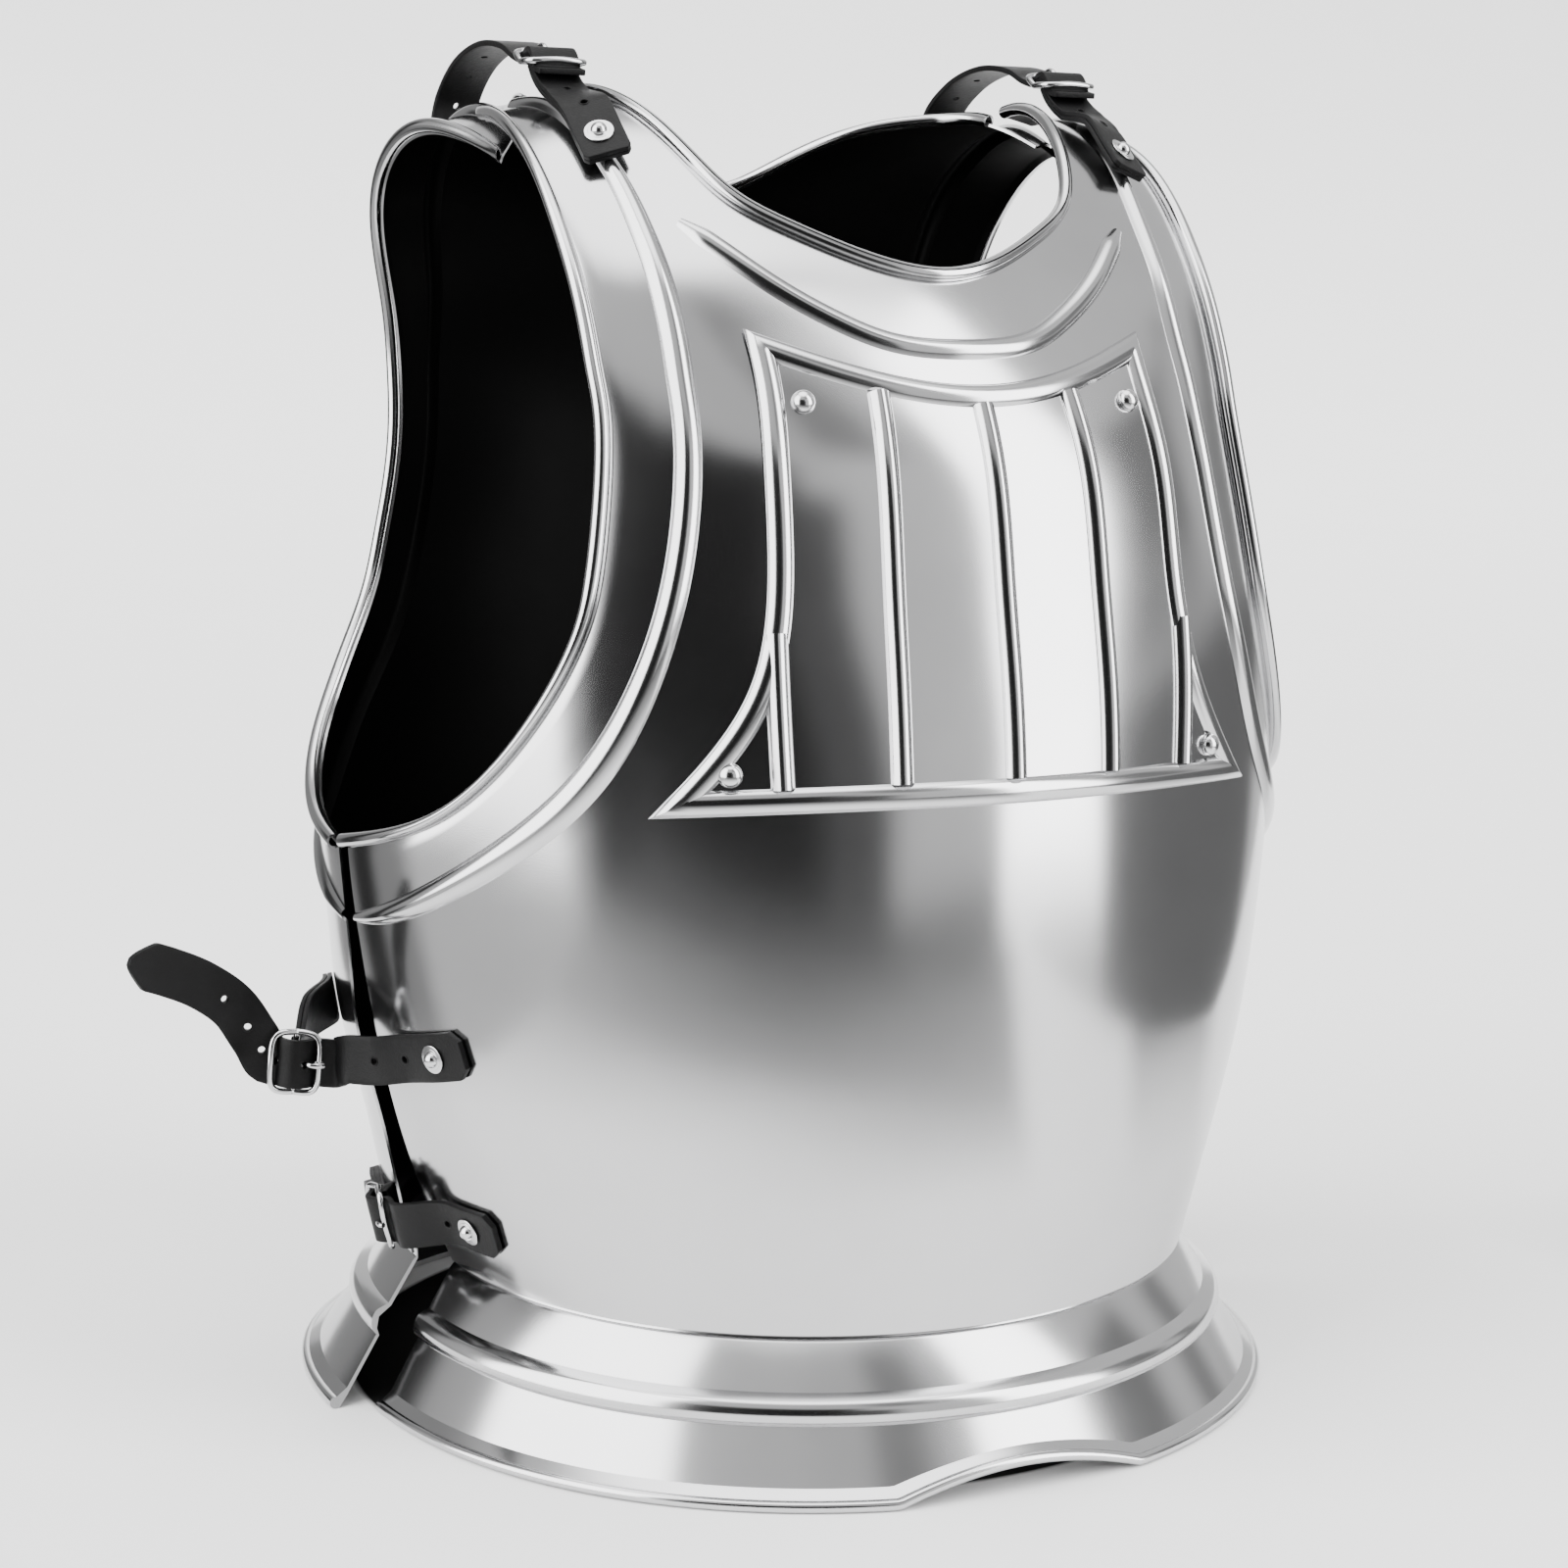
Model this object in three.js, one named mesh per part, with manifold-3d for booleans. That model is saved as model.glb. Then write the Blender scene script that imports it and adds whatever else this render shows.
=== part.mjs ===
// Steel cuirass: a breastplate with an applied ribbed chest panel and a backplate, each ending
// in a flared skirt, joined by two leather shoulder straps and four leather side straps.
// Millimetres, +Z up. The chest faces -Y and the wearer's left arm is at +X.
import * as THREE from 'three';
import { mergeVertices } from 'three/addons/utils/BufferGeometryUtils.js';
import Module from 'manifold-3d';

const wasm = await Module();
wasm.setup();

// Driving dimensions
const SHEET = 1.2;              // steel thickness
const GAP = 0.3;                // clearance between pieces that touch
const ROLL_R = 3.4;             // rolled arm and neck edges
const RIDGE_H = 3.6;            // height of the ridge beside an armhole
const BEAD_H = 3.4;             // height of the bead below the neck
const PANEL_LIFT = 0.9;         // underside of the chest panel above the breastplate
const PANEL_BORDER = [11, 3.2]; // width, height of its raised border
const PANEL_RIB = [10, 4.2];    // width, height of its ribs
const ARCH_HALF = 58;           // half width of the raised arch in the front skirt
const ARCH_RISE = 10;           // rise of that arch
const FRONT_SKIRT_ENDS = { floor: 86.8, waist: 89.4 }; // angles where the front skirt ends
const REAR_SKIRT_ENDS = { floor: 90.2, waist: 86.3 };  // and the rear one
const WAIST_Z = 60;             // crease between a plate and its skirt
const STRAP_W = 22;             // leather strap width
const STRAP_T = 2.6;            // leather thickness
const WIRE_R = 1.4;             // buckle wire
const RIVET = { washer: 6.4, plate: 1.0, head: 3.6, dome: 2.2 };
const PANEL_RIVET = { washer: 5.2, plate: 0.6, head: 5.2, dome: 2.4 };
const SHOULDER_X = 127;         // centre line of a shoulder strap

// A table of rows with named columns
function table(names, rows) {
  const keys = names.split(' ');
  return rows.map((row) => Object.fromEntries(keys.map((key, i) => [key, row[i]])));
}

// Sections of each plate from the waist up: height and tilt of the section plane, and its
// radius at 0, 30, 60 and 90 degrees from the centre line round to the side seam
const SECTION = 'height tilt r0 r30 r60 r90';
const FRONT_SECTIONS = table(SECTION, [
  [62, 0, 175, 176, 177, 175],
  [95, 0, 179, 181, 186, 189],
  [132, 0, 183, 185, 195, 201],
  [170, 0, 184, 188, 202, 210],
  [210, 0, 184, 188, 206, 217],
  [250, 0, 183, 187, 208, 222],
  [290, 0, 181, 185, 208, 223],
  [330, 0, 176, 182, 207, 222],
  [370, 0, 168, 176, 203, 219],
  [405, 3, 159, 168, 195, 214],
  [418, 12, 146, 157, 190, 210],
  [418, 25, 138, 150, 190, 210],
  [418, 39, 134, 149, 193, 214],
  [418, 53, 133, 151, 199, 222],
  [418, 67, 138, 160, 208, 232],
  [418, 81, 146, 171, 217, 240],
  [418, 95, 150, 179, 223, 245],
  [418, 109, 152, 184, 227, 248],
]);
const BACK_SECTIONS = table(SECTION, [
  [62, 0, 160, 167, 186, 188],
  [95, 0, 163, 171, 193, 196],
  [132, 0, 168, 176, 200, 205],
  [170, 0, 174, 183, 208, 215],
  [210, 0, 180, 189, 213, 219],
  [250, 0, 184, 193, 216, 223],
  [290, 0, 187, 195, 216, 225],
  [330, 0, 189, 195, 213, 224],
  [370, 0, 190, 195, 210, 221],
  [405, 3, 190, 193, 206, 217],
  [418, 12, 188, 193, 209, 220],
  [418, 25, 187, 195, 222, 233],
  [418, 39, 184, 204, 240, 252],
  [418, 53, 174, 202, 245, 258],
  [418, 67, 159, 190, 234, 250],
  [418, 81, 146, 166, 214, 234],
  [418, 95, 136, 151, 203, 226],
]);

// Lines of each half plate, as angle and section row, from the side seam up to the shoulder
// end: foot of the rolled arm edge, both feet of the ridge, and the outer outline opposite
const LINES = 'armA armR sideA sideR chestA chestR outA outR';
const FRONT_LINES = table(LINES, [
  [89, 5, 89, 4.3, 89, 4.2, 88.5, 0],
  [72, 5.5, 75, 4.8, 75, 4.5, 60, 0],
  [60, 6.5, 59, 5.8, 57, 5.5, 28, 0],
  [54, 7.5, 49.5, 7, 46.5, 6.8, 0, 0],
  [52.5, 8.5, 45.5, 8.5, 42, 8.5, 0, 5],
  [53.5, 10, 46.5, 10, 43, 10, 0, 10],
  [54, 11, 47, 11, 43.5, 11, 0, 11.7],
  [53, 12.5, 46.5, 12.5, 43.5, 12.3, 24, 12.5],
  [50.5, 14, 45.5, 13.5, 43, 13.3, 33, 13.5],
  [47, 15.5, 43.5, 15.2, 41.5, 15, 35, 15],
  [44.5, 16.5, 42.5, 16.5, 40.5, 16.5, 36.5, 16.5],
]);
const BACK_LINES = table(LINES, [
  [88.6, 4.95, 88.4, 4.3, 88.4, 4.16, 86.4, 0],
  [78, 5.2, 79, 4.6, 79, 4.3, 70, 0],
  [70, 5.6, 71, 4.95, 70, 4.65, 52, 0],
  [63, 6.1, 62.5, 5.5, 60.5, 5.15, 34, 0],
  [57, 6.7, 55.5, 6.2, 53, 5.9, 16, 0],
  [51.5, 7.4, 48.5, 7.0, 45.5, 6.8, 0, 0],
  [48.5, 8.2, 43.5, 8.1, 40.5, 7.9, 0, 3.6],
  [47.3, 9, 42, 9, 38.8, 9, 0, 7],
  [46.6, 10, 41.4, 10, 38.4, 10, 0, 9.8],
  [45.8, 11, 40.6, 11, 37.6, 11, 0, 11.9],
  [45, 12, 39.8, 12, 36.8, 12, 10, 12.1],
  [45.4, 13, 40.6, 13, 37.6, 12.9, 20, 12.9],
  [46.4, 14, 42, 13.9, 39, 13.8, 28.5, 13.4],
  [48, 14.8, 44.2, 14.6, 41, 14.4, 33.5, 13.7],
  [49.5, 15.3, 46, 15, 43, 14.8, 37, 14.2],
]);

// Bead below the neck, from the middle to its pointed end
const NECK_BEAD = table('angle row', [
  [0, 10.6],
  [12, 10.7],
  [22, 11.1],
  [32, 11.8],
  [40, 12.8],
]);

// Right and left sides of the chest panel from bottom to top, and its middle
const PANEL_LINES = table('sideA sideR middleR', [
  [45.1, 5.82, 5.9],
  [39.5, 6.35, 6.55],
  [35, 6.95, 7.2],
  [33, 7.6, 7.8],
  [32.8, 8.3, 8.4],
  [33.6, 9.1, 8.95],
  [34.6, 9.95, 9.45],
  [35.7, 10.85, 10.0],
]);
// Ribs right of the centre: angle at the foot and at the top, and how far up they run
const PANEL_RIBS = table('footA topA topPart', [
  [0, 0, 1],
  [15.6, 17.4, 1],
  [30.6, 32, 0.42],
]);

// Buckle: half length along the strap and half height across it, middle of the wire; its ends
// stand a little above its bar
const BUCKLE_HALF = { u: 10.3, w: 13.2 };
const BAR_DROP = -0.8;
const END_RISE = 3.2;
const CHAPE_T = 4.4;            // the two layers of a chape
// Tongue from the centre bar, through the strap and over the frame: along, height
const TONGUE = table('u h', [
  [0, -0.8],
  [3.5, 1.5],
  [6.5, 4.3],
  [10.3, 4.7],
  [12.2, 3.8],
]);
// Underside of a strap woven through its buckle: along, height
const WEAVE = table('u h', [
  [18, -3],
  [11.5, -3.2],
  [8, -2.8],
  [3.6, 1.6],
  [0, 3.2],
  [-3.6, 1.6],
  [-8, -2.8],
  [-11.5, -3.2],
]);
// Underside of a shoulder strap over the top, from behind to its buckle
const SHOULDER_ARC = table('y z', [
  [112, 569],
  [92, 583],
  [62, 590],
  [36, 588],
]);
// Underside of a shoulder chape towards its riveted front end
const SHOULDER_CHAPE = table('y z', [
  [-31, 560],
  [-46, 548],
  [-56, 539.6],
]);
// Underside of the long free end of the right upper strap
const FREE_END = table('x y z', [
  [-258, 14, 167],
  [-267, 16, 181],
  [-281, 15, 192],
  [-297, 12, 200],
  [-315, 7, 207],
]);

// Rolled arm edge: how far out from its foot and how high above the plate
const ROLL_SECTION = table('reach lift', [
  [1.6, 4.2],
  [4.2, 6.2],
  [7.2, 5],
  [8.4, 2],
  [6.2, -1],
  [2, -1.4],
]);

// Skirt section from the waist down and back up inside: out from the waist line, height
const SKIRT_SECTION = table('out height', [
  [-2.2, 74],
  [-1.9, 60],
  [11, 41.5],
  [15.5, 38.5],
  [18.6, 34],
  [18, 30.5],
  [17.2, 29],
  [32.5, 5.6],
  [36.6, 4.6],
  [38.6, 3.2],
  [38.6, 1.2],
  [37, 0],
  [34.6, 0],
  [33.2, 1.6],
  [31.4, 5.4],
  [15.8, 29.6],
  [10, 40.5],
  [-3.1, 60],
  [-3.4, 74],
]);

const steel = new THREE.MeshStandardMaterial({ color: 0xb9bbbd, roughness: 0.22, metalness: 1 });
const wire = new THREE.MeshStandardMaterial({ color: 0xcfd0d2, roughness: 0.15, metalness: 1 });
const leather = new THREE.MeshStandardMaterial({ color: 0x242322, roughness: 0.6, metalness: 0 });

// Natural cubic through evenly spaced values
function spline(values) {
  const n = values.length;
  const gain = new Array(n).fill(0);
  const part = new Array(n).fill(0);
  const bend = new Array(n).fill(0);
  for (let i = 1; i < n - 1; i += 1) {
    gain[i] = 1 / (4 - gain[i - 1]);
    part[i] = gain[i] * (6 * (values[i + 1] - 2 * values[i] + values[i - 1]) - part[i - 1]);
  }
  for (let i = n - 2; i > 0; i -= 1) {
    bend[i] = part[i] - gain[i] * bend[i + 1];
  }
  return (u) => {
    const i = Math.min(Math.max(Math.floor(u), 0), n - 2);
    const t = u - i;
    const s = 1 - t;
    const curve = (s ** 3 - s) * bend[i] + (t ** 3 - t) * bend[i + 1];
    return s * values[i] + t * values[i + 1] + curve / 6;
  };
}

// Turns the columns of a table into smooth functions of the row number
function columns(rows) {
  const keys = Object.keys(rows[0]);
  return Object.fromEntries(keys.map((key) => [key, spline(rows.map((row) => row[key]))]));
}

// Outer outline of a half plate: straight steps along the waist and up the middle, then a
// smooth neckline that crosses the middle level
function outline(rows) {
  const neck = rows.findLastIndex((row) => row.outA === 0);
  const part = rows.slice(neck);
  const mirror = part.slice(1).reverse();
  const angle = spline([...mirror.map((row) => -row.outA), ...part.map((row) => row.outA)]);
  const level = spline([...mirror.map((row) => row.outR), ...part.map((row) => row.outR)]);
  return (u) => {
    if (u >= neck) {
      const v = u - neck + mirror.length;
      return [u === neck ? 0 : angle(v), level(v)];
    }
    const i = Math.floor(u);
    const mix = (key) => rows[i][key] + (rows[i + 1][key] - rows[i][key]) * (u - i);
    return [mix('outA'), mix('outR')];
  };
}

// The outer face of a plate; side is -1 for the front and +1 for the back
class Skin {
  constructor(rows, side) {
    this.side = side;
    this.at = columns(rows);
  }

  point(angle, row) {
    const [r0, r30, r60, r90] = ['r0', 'r30', 'r60', 'r90'].map((key) => this.at[key](row));
    const a = THREE.MathUtils.degToRad(angle);
    const tilt = THREE.MathUtils.degToRad(this.at.tilt(row));
    const mean = (r0 + 2 * r30 + 2 * r60 + r90) / 6;
    const oval = (r0 + r30 - r60 - r90) / 3;
    const four = (r0 - r30 - r60 + r90) / 3;
    const six = (r0 - 2 * r30 + 2 * r60 - r90) / 6;
    const r = mean + oval * Math.cos(2 * a) + four * Math.cos(4 * a) + six * Math.cos(6 * a);
    const reach = r * Math.cos(a);
    return new THREE.Vector3(
      r * Math.sin(a),
      this.side * reach * Math.cos(tilt),
      this.at.height(row) + reach * Math.sin(tilt),
    );
  }

  normal(angle, row) {
    const across = this.point(angle + 0.5, row).sub(this.point(angle - 0.5, row));
    const up = this.point(angle, row + 0.05).sub(this.point(angle, row - 0.05));
    const n = across.cross(up).normalize().multiplyScalar(-this.side);
    if (angle === 0) {
      n.x = 0;
    }
    return n.normalize();
  }

  round(angle, row) {
    return this.point(angle + 0.5, row).sub(this.point(angle - 0.5, row)).normalize();
  }

  rise(angle, row) {
    return this.point(angle, row + 0.05).sub(this.point(angle, row - 0.05)).normalize();
  }

  lifted(angle, row, lift) {
    return this.point(angle, row).addScaledVector(this.normal(angle, row), lift);
  }
}

function geometry(points, triangles) {
  const g = new THREE.BufferGeometry();
  g.setAttribute('position', new THREE.Float32BufferAttribute(points.flatMap((p) => [p.x, p.y, p.z]), 3));
  g.setIndex(triangles.flat());
  return mergeVertices(g, 1e-4);
}

// Turns every triangle over when the closed body is inside out
function outward(g) {
  const p = g.attributes.position;
  const id = g.index.array;
  const v = [0, 1, 2].map(() => new THREE.Vector3());
  let volume = 0;
  for (let i = 0; i < id.length; i += 3) {
    v.forEach((vec, k) => vec.fromBufferAttribute(p, id[i + k]));
    volume += v[0].dot(v[1].cross(v[2]));
  }
  if (volume < 0) {
    for (let i = 0; i < id.length; i += 3) {
      [id[i], id[i + 1]] = [id[i + 1], id[i]];
    }
  }
  return g;
}

function solid(source) {
  const g = source.clone();
  g.deleteAttribute('normal');
  g.deleteAttribute('uv');
  const clean = outward(mergeVertices(g, 1e-4));
  return new wasm.Manifold(new wasm.Mesh({
    numProp: 3,
    vertProperties: Float32Array.from(clean.attributes.position.array),
    triVerts: Uint32Array.from(clean.index.array),
  }));
}

function join(list) {
  return list.map(solid).reduce((sum, next) => sum.add(next));
}

function fromSolid(body) {
  const mesh = body.getMesh();
  const g = new THREE.BufferGeometry();
  g.setAttribute('position', new THREE.BufferAttribute(Float32Array.from(mesh.vertProperties), 3));
  g.setIndex(new THREE.BufferAttribute(Uint32Array.from(mesh.triVerts), 1));
  return g;
}

const group = new THREE.Group();
function add(name, geo, material) {
  const mesh = new THREE.Mesh(geo, material);
  mesh.name = name;
  group.add(mesh);
  return mesh;
}

// Closed body swept through rings of points; ends are capped unless the path closes on itself
function sweep(rings, closed = false) {
  const size = rings[0].length;
  const triangles = [];
  const last = closed ? rings.length : rings.length - 1;
  for (let i = 0; i < last; i += 1) {
    const a = i * size;
    const b = ((i + 1) % rings.length) * size;
    for (let k = 0; k < size; k += 1) {
      const m = (k + 1) % size;
      triangles.push([a + k, b + k, b + m], [a + k, b + m, a + m]);
    }
  }
  if (!closed) {
    const flat = flatten(rings[0]);
    THREE.ShapeUtils.triangulateShape(flat, []).forEach(([p, q, r]) => {
      const end = (rings.length - 1) * size;
      triangles.push([p, q, r], [end + p, end + r, end + q]);
    });
  }
  return outward(geometry(rings.flat(), triangles));
}

// Two-dimensional view of a flat ring, wound as its own order winds
function flatten(ring) {
  const centre = ring.reduce((sum, p) => sum.add(p), new THREE.Vector3()).divideScalar(ring.length);
  const n = new THREE.Vector3();
  ring.forEach((p, i) => {
    const q = ring[(i + 1) % ring.length];
    n.add(p.clone().sub(centre).cross(q.clone().sub(centre)));
  });
  n.normalize();
  const u = ring[1].clone().sub(ring[0]).normalize();
  const v = n.clone().cross(u);
  return ring.map((p) => new THREE.Vector2(p.clone().sub(centre).dot(u), p.clone().sub(centre).dot(v)));
}

// Round bar along points
function bar(points, radius, sides, closed = false) {
  const curve = new THREE.CatmullRomCurve3(points, closed, 'centripetal');
  const count = points.length;
  const frames = curve.computeFrenetFrames(count - (closed ? 0 : 1), closed);
  const rings = points.map((p, i) => {
    const normal = frames.normals[i];
    const binormal = frames.binormals[i];
    return [...Array(sides).keys()].map((k) => {
      const a = (2 * Math.PI * (k + 0.5)) / sides;
      const out = p.clone().addScaledVector(normal, radius * Math.cos(a));
      return out.addScaledVector(binormal, radius * Math.sin(a));
    });
  });
  return sweep(rings, closed);
}

// Raised rib with a flat-topped section along a line on a skin; line gives angle and row
function rib(skin, line, base, width, height, taper = () => 1) {
  const rings = line.map((spot, i) => {
    const [angle, row] = spot;
    const before = line[Math.max(i - 1, 0)];
    const after = line[Math.min(i + 1, line.length - 1)];
    const along = skin.point(...after).sub(skin.point(...before)).normalize();
    const n = skin.normal(angle, row);
    const side = along.clone().cross(n).normalize();
    const foot = skin.lifted(angle, row, base);
    const k = taper(i / (line.length - 1));
    const corner = (s, h) => foot.clone().addScaledVector(side, (s * width * k) / 2).addScaledVector(n, h);
    return [corner(-1, 0), corner(-0.35, height * k), corner(0.35, height * k), corner(1, 0)];
  });
  return sweep(rings);
}

function mirrored(g) {
  const m = g.clone();
  m.scale(-1, 1, 1);
  return outward(m);
}

// Both halves of a plate as one sheet, with the arm ridges pressed in and the arm edges rolled
function plateSheet(skin, rows, detail, spread) {
  const at = columns(rows);
  const edge = outline(rows);
  const stations = (rows.length - 1) * detail + 1;
  const rings = [];
  for (let i = 0; i < stations; i += 1) {
    const u = i / detail;
    const arm = [at.armA(u), at.armR(u)];
    const near = [at.sideA(u), at.sideR(u)];
    const far = [at.chestA(u), at.chestR(u)];
    const out = edge(u);
    const blend = (p, q, t) => [p[0] + (q[0] - p[0]) * t, p[1] + (q[1] - p[1]) * t];
    const stretch = skin.point(...arm).distanceTo(skin.point(...near));
    const lip = (reach) => blend(arm, near, -reach / stretch);
    const ridge = RIDGE_H * Math.min(1, skin.point(...near).distanceTo(skin.point(...far)) / 10);
    const crest = [0.35, 0.65].map((share) => [blend(near, far, share), ridge]);
    const spots = [[arm, 0], [near, 0], ...crest, [far, 0]];
    spread.forEach((t) => spots.push([blend(far, out, t), 0]));
    const outer = spots.map(([p, lift]) => skin.lifted(...p, lift)).reverse();
    const inner = spots.map(([p, lift]) => skin.lifted(...p, lift - SHEET));
    const roll = ROLL_SECTION.map(({ reach, lift }) => skin.lifted(...lip(reach), lift));
    rings.push([...outer, ...roll, ...inner]);
  }
  return doubled(rings, spread.length + 5);
}

// Closed body of a half plate and its mirror image, joined along the middle
function doubled(rings, face) {
  const size = rings[0].length;
  const triangles = [];
  const quad = (a, b, c, d) => triangles.push([a, b, c], [a, c, d]);
  for (let i = 0; i < rings.length - 1; i += 1) {
    for (let k = 0; k < size; k += 1) {
      const m = (k + 1) % size;
      const middle = m === 0 && Math.abs(rings[i][0].x) < 1e-6 && Math.abs(rings[i + 1][0].x) < 1e-6;
      if (!middle) {
        quad(i * size + k, (i + 1) * size + k, (i + 1) * size + m, i * size + m);
      }
    }
  }
  [0, rings.length - 1].forEach((i) => {
    const flip = i > 0;
    const cap = (a, b, c) => triangles.push(flip ? [a, c, b] : [a, b, c]);
    const base = i * size;
    for (let k = 0; k < face - 1; k += 1) {
      const [a, b, c, d] = [base + k, base + k + 1, base + size - 2 - k, base + size - 1 - k];
      cap(a, b, c);
      cap(a, c, d);
    }
    for (let k = face; k < size - face; k += 1) {
      cap(base + face - 1, base + k, base + k + 1);
    }
  });
  const points = rings.flat();
  const other = points.map((p) => new THREE.Vector3(-p.x, p.y, p.z));
  const turned = triangles.map(([a, b, c]) => [a + points.length, c + points.length, b + points.length]);
  return outward(geometry([...points, ...other], [...triangles, ...turned]));
}

// Rolled edge round the neck, over both halves
function neckRoll(skin, rows, detail) {
  const edge = outline(rows);
  const neck = rows.findLastIndex((row) => row.outA === 0);
  const half = [];
  for (let i = 0; i <= (rows.length - 1 - neck) * detail; i += 1) {
    half.push(skin.lifted(...edge(neck + i / detail), 1.4));
  }
  const other = half.slice(1).map((p) => new THREE.Vector3(-p.x, p.y, p.z)).reverse();
  return bar([...other, ...half], ROLL_R, 6);
}

const SPREAD = [0.15, 0.4, 0.7, 1];
const front = new Skin(FRONT_SECTIONS, -1);
const back = new Skin(BACK_SECTIONS, 1);

// Bead below the neck, ending in points beside the shoulder straps
function neckBead() {
  const mirror = NECK_BEAD.slice(1).reverse();
  const angle = spline([...mirror.map((row) => -row.angle), ...NECK_BEAD.map((row) => row.angle)]);
  const level = spline([...mirror, ...NECK_BEAD].map((row) => row.row));
  const steps = 20;
  const span = 2 * mirror.length;
  const stops = [...Array(steps + 1).keys()].map((i) => (i * span) / steps);
  const line = stops.map((stop) => [angle(stop), level(stop)]);
  return rib(front, line, -0.4, 10, BEAD_H, (t) => Math.min(1, 0.25 + 6 * Math.min(t, 1 - t)));
}

function breastplate() {
  const parts = [plateSheet(front, FRONT_LINES, 4, SPREAD), neckRoll(front, FRONT_LINES, 4), neckBead()];
  return fromSolid(join(parts));
}

function backplate() {
  const parts = [plateSheet(back, BACK_LINES, 2, SPREAD), neckRoll(back, BACK_LINES, 2)];
  return fromSolid(join(parts));
}

// Applied chest plate: a lifted sheet on the breastplate's own shape, with border and ribs
function chestPanel() {
  const at = columns(PANEL_LINES);
  const rows = 11;
  const half = 5;
  const spot = (i, k) => {
    const u = (i * (PANEL_LINES.length - 1)) / rows;
    const t = k / half;
    const bow = t * t;
    return [at.sideA(u) * t, at.middleR(u) + (at.sideR(u) - at.middleR(u)) * bow];
  };
  const points = [];
  const across = 2 * half + 1;
  [PANEL_LIFT + SHEET, PANEL_LIFT].forEach((lift) => {
    for (let i = 0; i <= rows; i += 1) {
      for (let k = -half; k <= half; k += 1) {
        points.push(front.lifted(...spot(i, k), lift));
      }
    }
  });
  const base = (rows + 1) * across;
  const id = (i, k) => i * across + k;
  const triangles = [];
  const quad = (a, b, c, d) => triangles.push([a, b, c], [a, c, d]);
  for (let i = 0; i < rows; i += 1) {
    for (let k = 0; k < across - 1; k += 1) {
      quad(id(i, k), id(i, k + 1), id(i + 1, k + 1), id(i + 1, k));
      quad(base + id(i, k), base + id(i + 1, k), base + id(i + 1, k + 1), base + id(i, k + 1));
    }
    quad(id(i, 0), id(i + 1, 0), base + id(i + 1, 0), base + id(i, 0));
    quad(id(i, across - 1), base + id(i, across - 1), base + id(i + 1, across - 1), id(i + 1, across - 1));
  }
  for (let k = 0; k < across - 1; k += 1) {
    quad(id(0, k), base + id(0, k), base + id(0, k + 1), id(0, k + 1));
    quad(id(rows, k), id(rows, k + 1), base + id(rows, k + 1), base + id(rows, k));
  }
  const sheet = outward(geometry(points, triangles));
  const lift = PANEL_LIFT + SHEET - 0.5;
  const inset = 0.9;
  const ribs = [];
  PANEL_RIBS.forEach(({ footA, topA, topPart }) => {
    const line = [...Array(11).keys()].map((i) => {
      const u = (0.35 + 0.1 * i * topPart * 6.3);
      const a = footA + ((topA - footA) * i) / 10;
      const t = a / at.sideA(u);
      return [a, at.middleR(u) + (at.sideR(u) - at.middleR(u)) * t * t];
    });
    ribs.push(rib(front, line, lift, PANEL_RIB[0], PANEL_RIB[1]));
    if (footA > 0) {
      ribs.push(mirrored(ribs[ribs.length - 1]));
    }
  });
  const edge = [];
  const inside = (i, k) => {
    const [a, r] = spot(i, k);
    return [a * (1 - 0.034), r + (i === 0 ? 0.14 : 0) - (i === rows ? 0.14 : 0)];
  };
  for (let k = -half; k < half; k += 1) { edge.push(inside(0, k)); }
  for (let i = 0; i < rows; i += 1) { edge.push(inside(i, half)); }
  for (let k = half; k > -half; k -= 1) { edge.push(inside(rows, k)); }
  for (let i = rows; i > 0; i -= 1) { edge.push(inside(i, -half)); }
  const border = closedRib(front, edge, lift, PANEL_BORDER[0] * inset, PANEL_BORDER[1]);
  return fromSolid(join([sheet, border, ...ribs]));
}

// Rib round a closed outline on a skin
function closedRib(skin, line, base, width, height) {
  const n = line.length;
  const rings = line.map((spot, i) => {
    const before = skin.point(...line[(i + n - 1) % n]);
    const after = skin.point(...line[(i + 1) % n]);
    const normal = skin.normal(...spot);
    const side = after.sub(before).normalize().cross(normal).normalize();
    const foot = skin.lifted(...spot, base);
    const corner = (s, h) => foot.clone().addScaledVector(side, (s * width) / 2).addScaledVector(normal, h);
    return [corner(-1, 0), corner(-0.4, height), corner(0.4, height), corner(1, 0)];
  });
  return sweep(rings, true);
}

// Half of the flared skirt, following the plate's waist; its ends slant from floor to waist
function skirt(skin, spread, arch, ends) {
  const steps = 26;
  const rings = [];
  for (let i = 0; i <= steps; i += 1) {
    const turn = (2 * i) / steps - 1;
    rings.push(SKIRT_SECTION.map(({ out, height }) => {
      const angle = turn * (ends.floor + ((ends.waist - ends.floor) * height) / WAIST_Z);
      const away = skin.normal(angle, 0).setZ(0).normalize();
      const p = skin.point(angle, 0).addScaledVector(away, out > 0 ? out * spread : out);
      const share = Math.min(1, Math.max(0, (29 - height) / 23));
      const slide = arch * Math.max(0, 1 - (p.x / ARCH_HALF) ** 2) * share;
      return p.addScaledVector(away, -0.65 * slide).setZ(height + slide);
    }));
  }
  return sweep(rings);
}

// Rivet with its washer, standing on the spot and pointing along the normal
function rivet(spot, normal, size) {
  const profile = [
    [0, 0], [size.washer, 0], [size.washer - 0.4, size.plate], [size.head, size.plate],
    [size.head * 0.66, size.plate + size.dome * 0.75], [0, size.plate + size.dome],
  ].map(([r, h]) => new THREE.Vector2(r, h));
  const g = mergeClean(new THREE.LatheGeometry(profile, 10));
  g.applyQuaternion(new THREE.Quaternion().setFromUnitVectors(new THREE.Vector3(0, 1, 0), normal));
  g.translate(spot.x, spot.y, spot.z);
  return outward(g);
}

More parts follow.
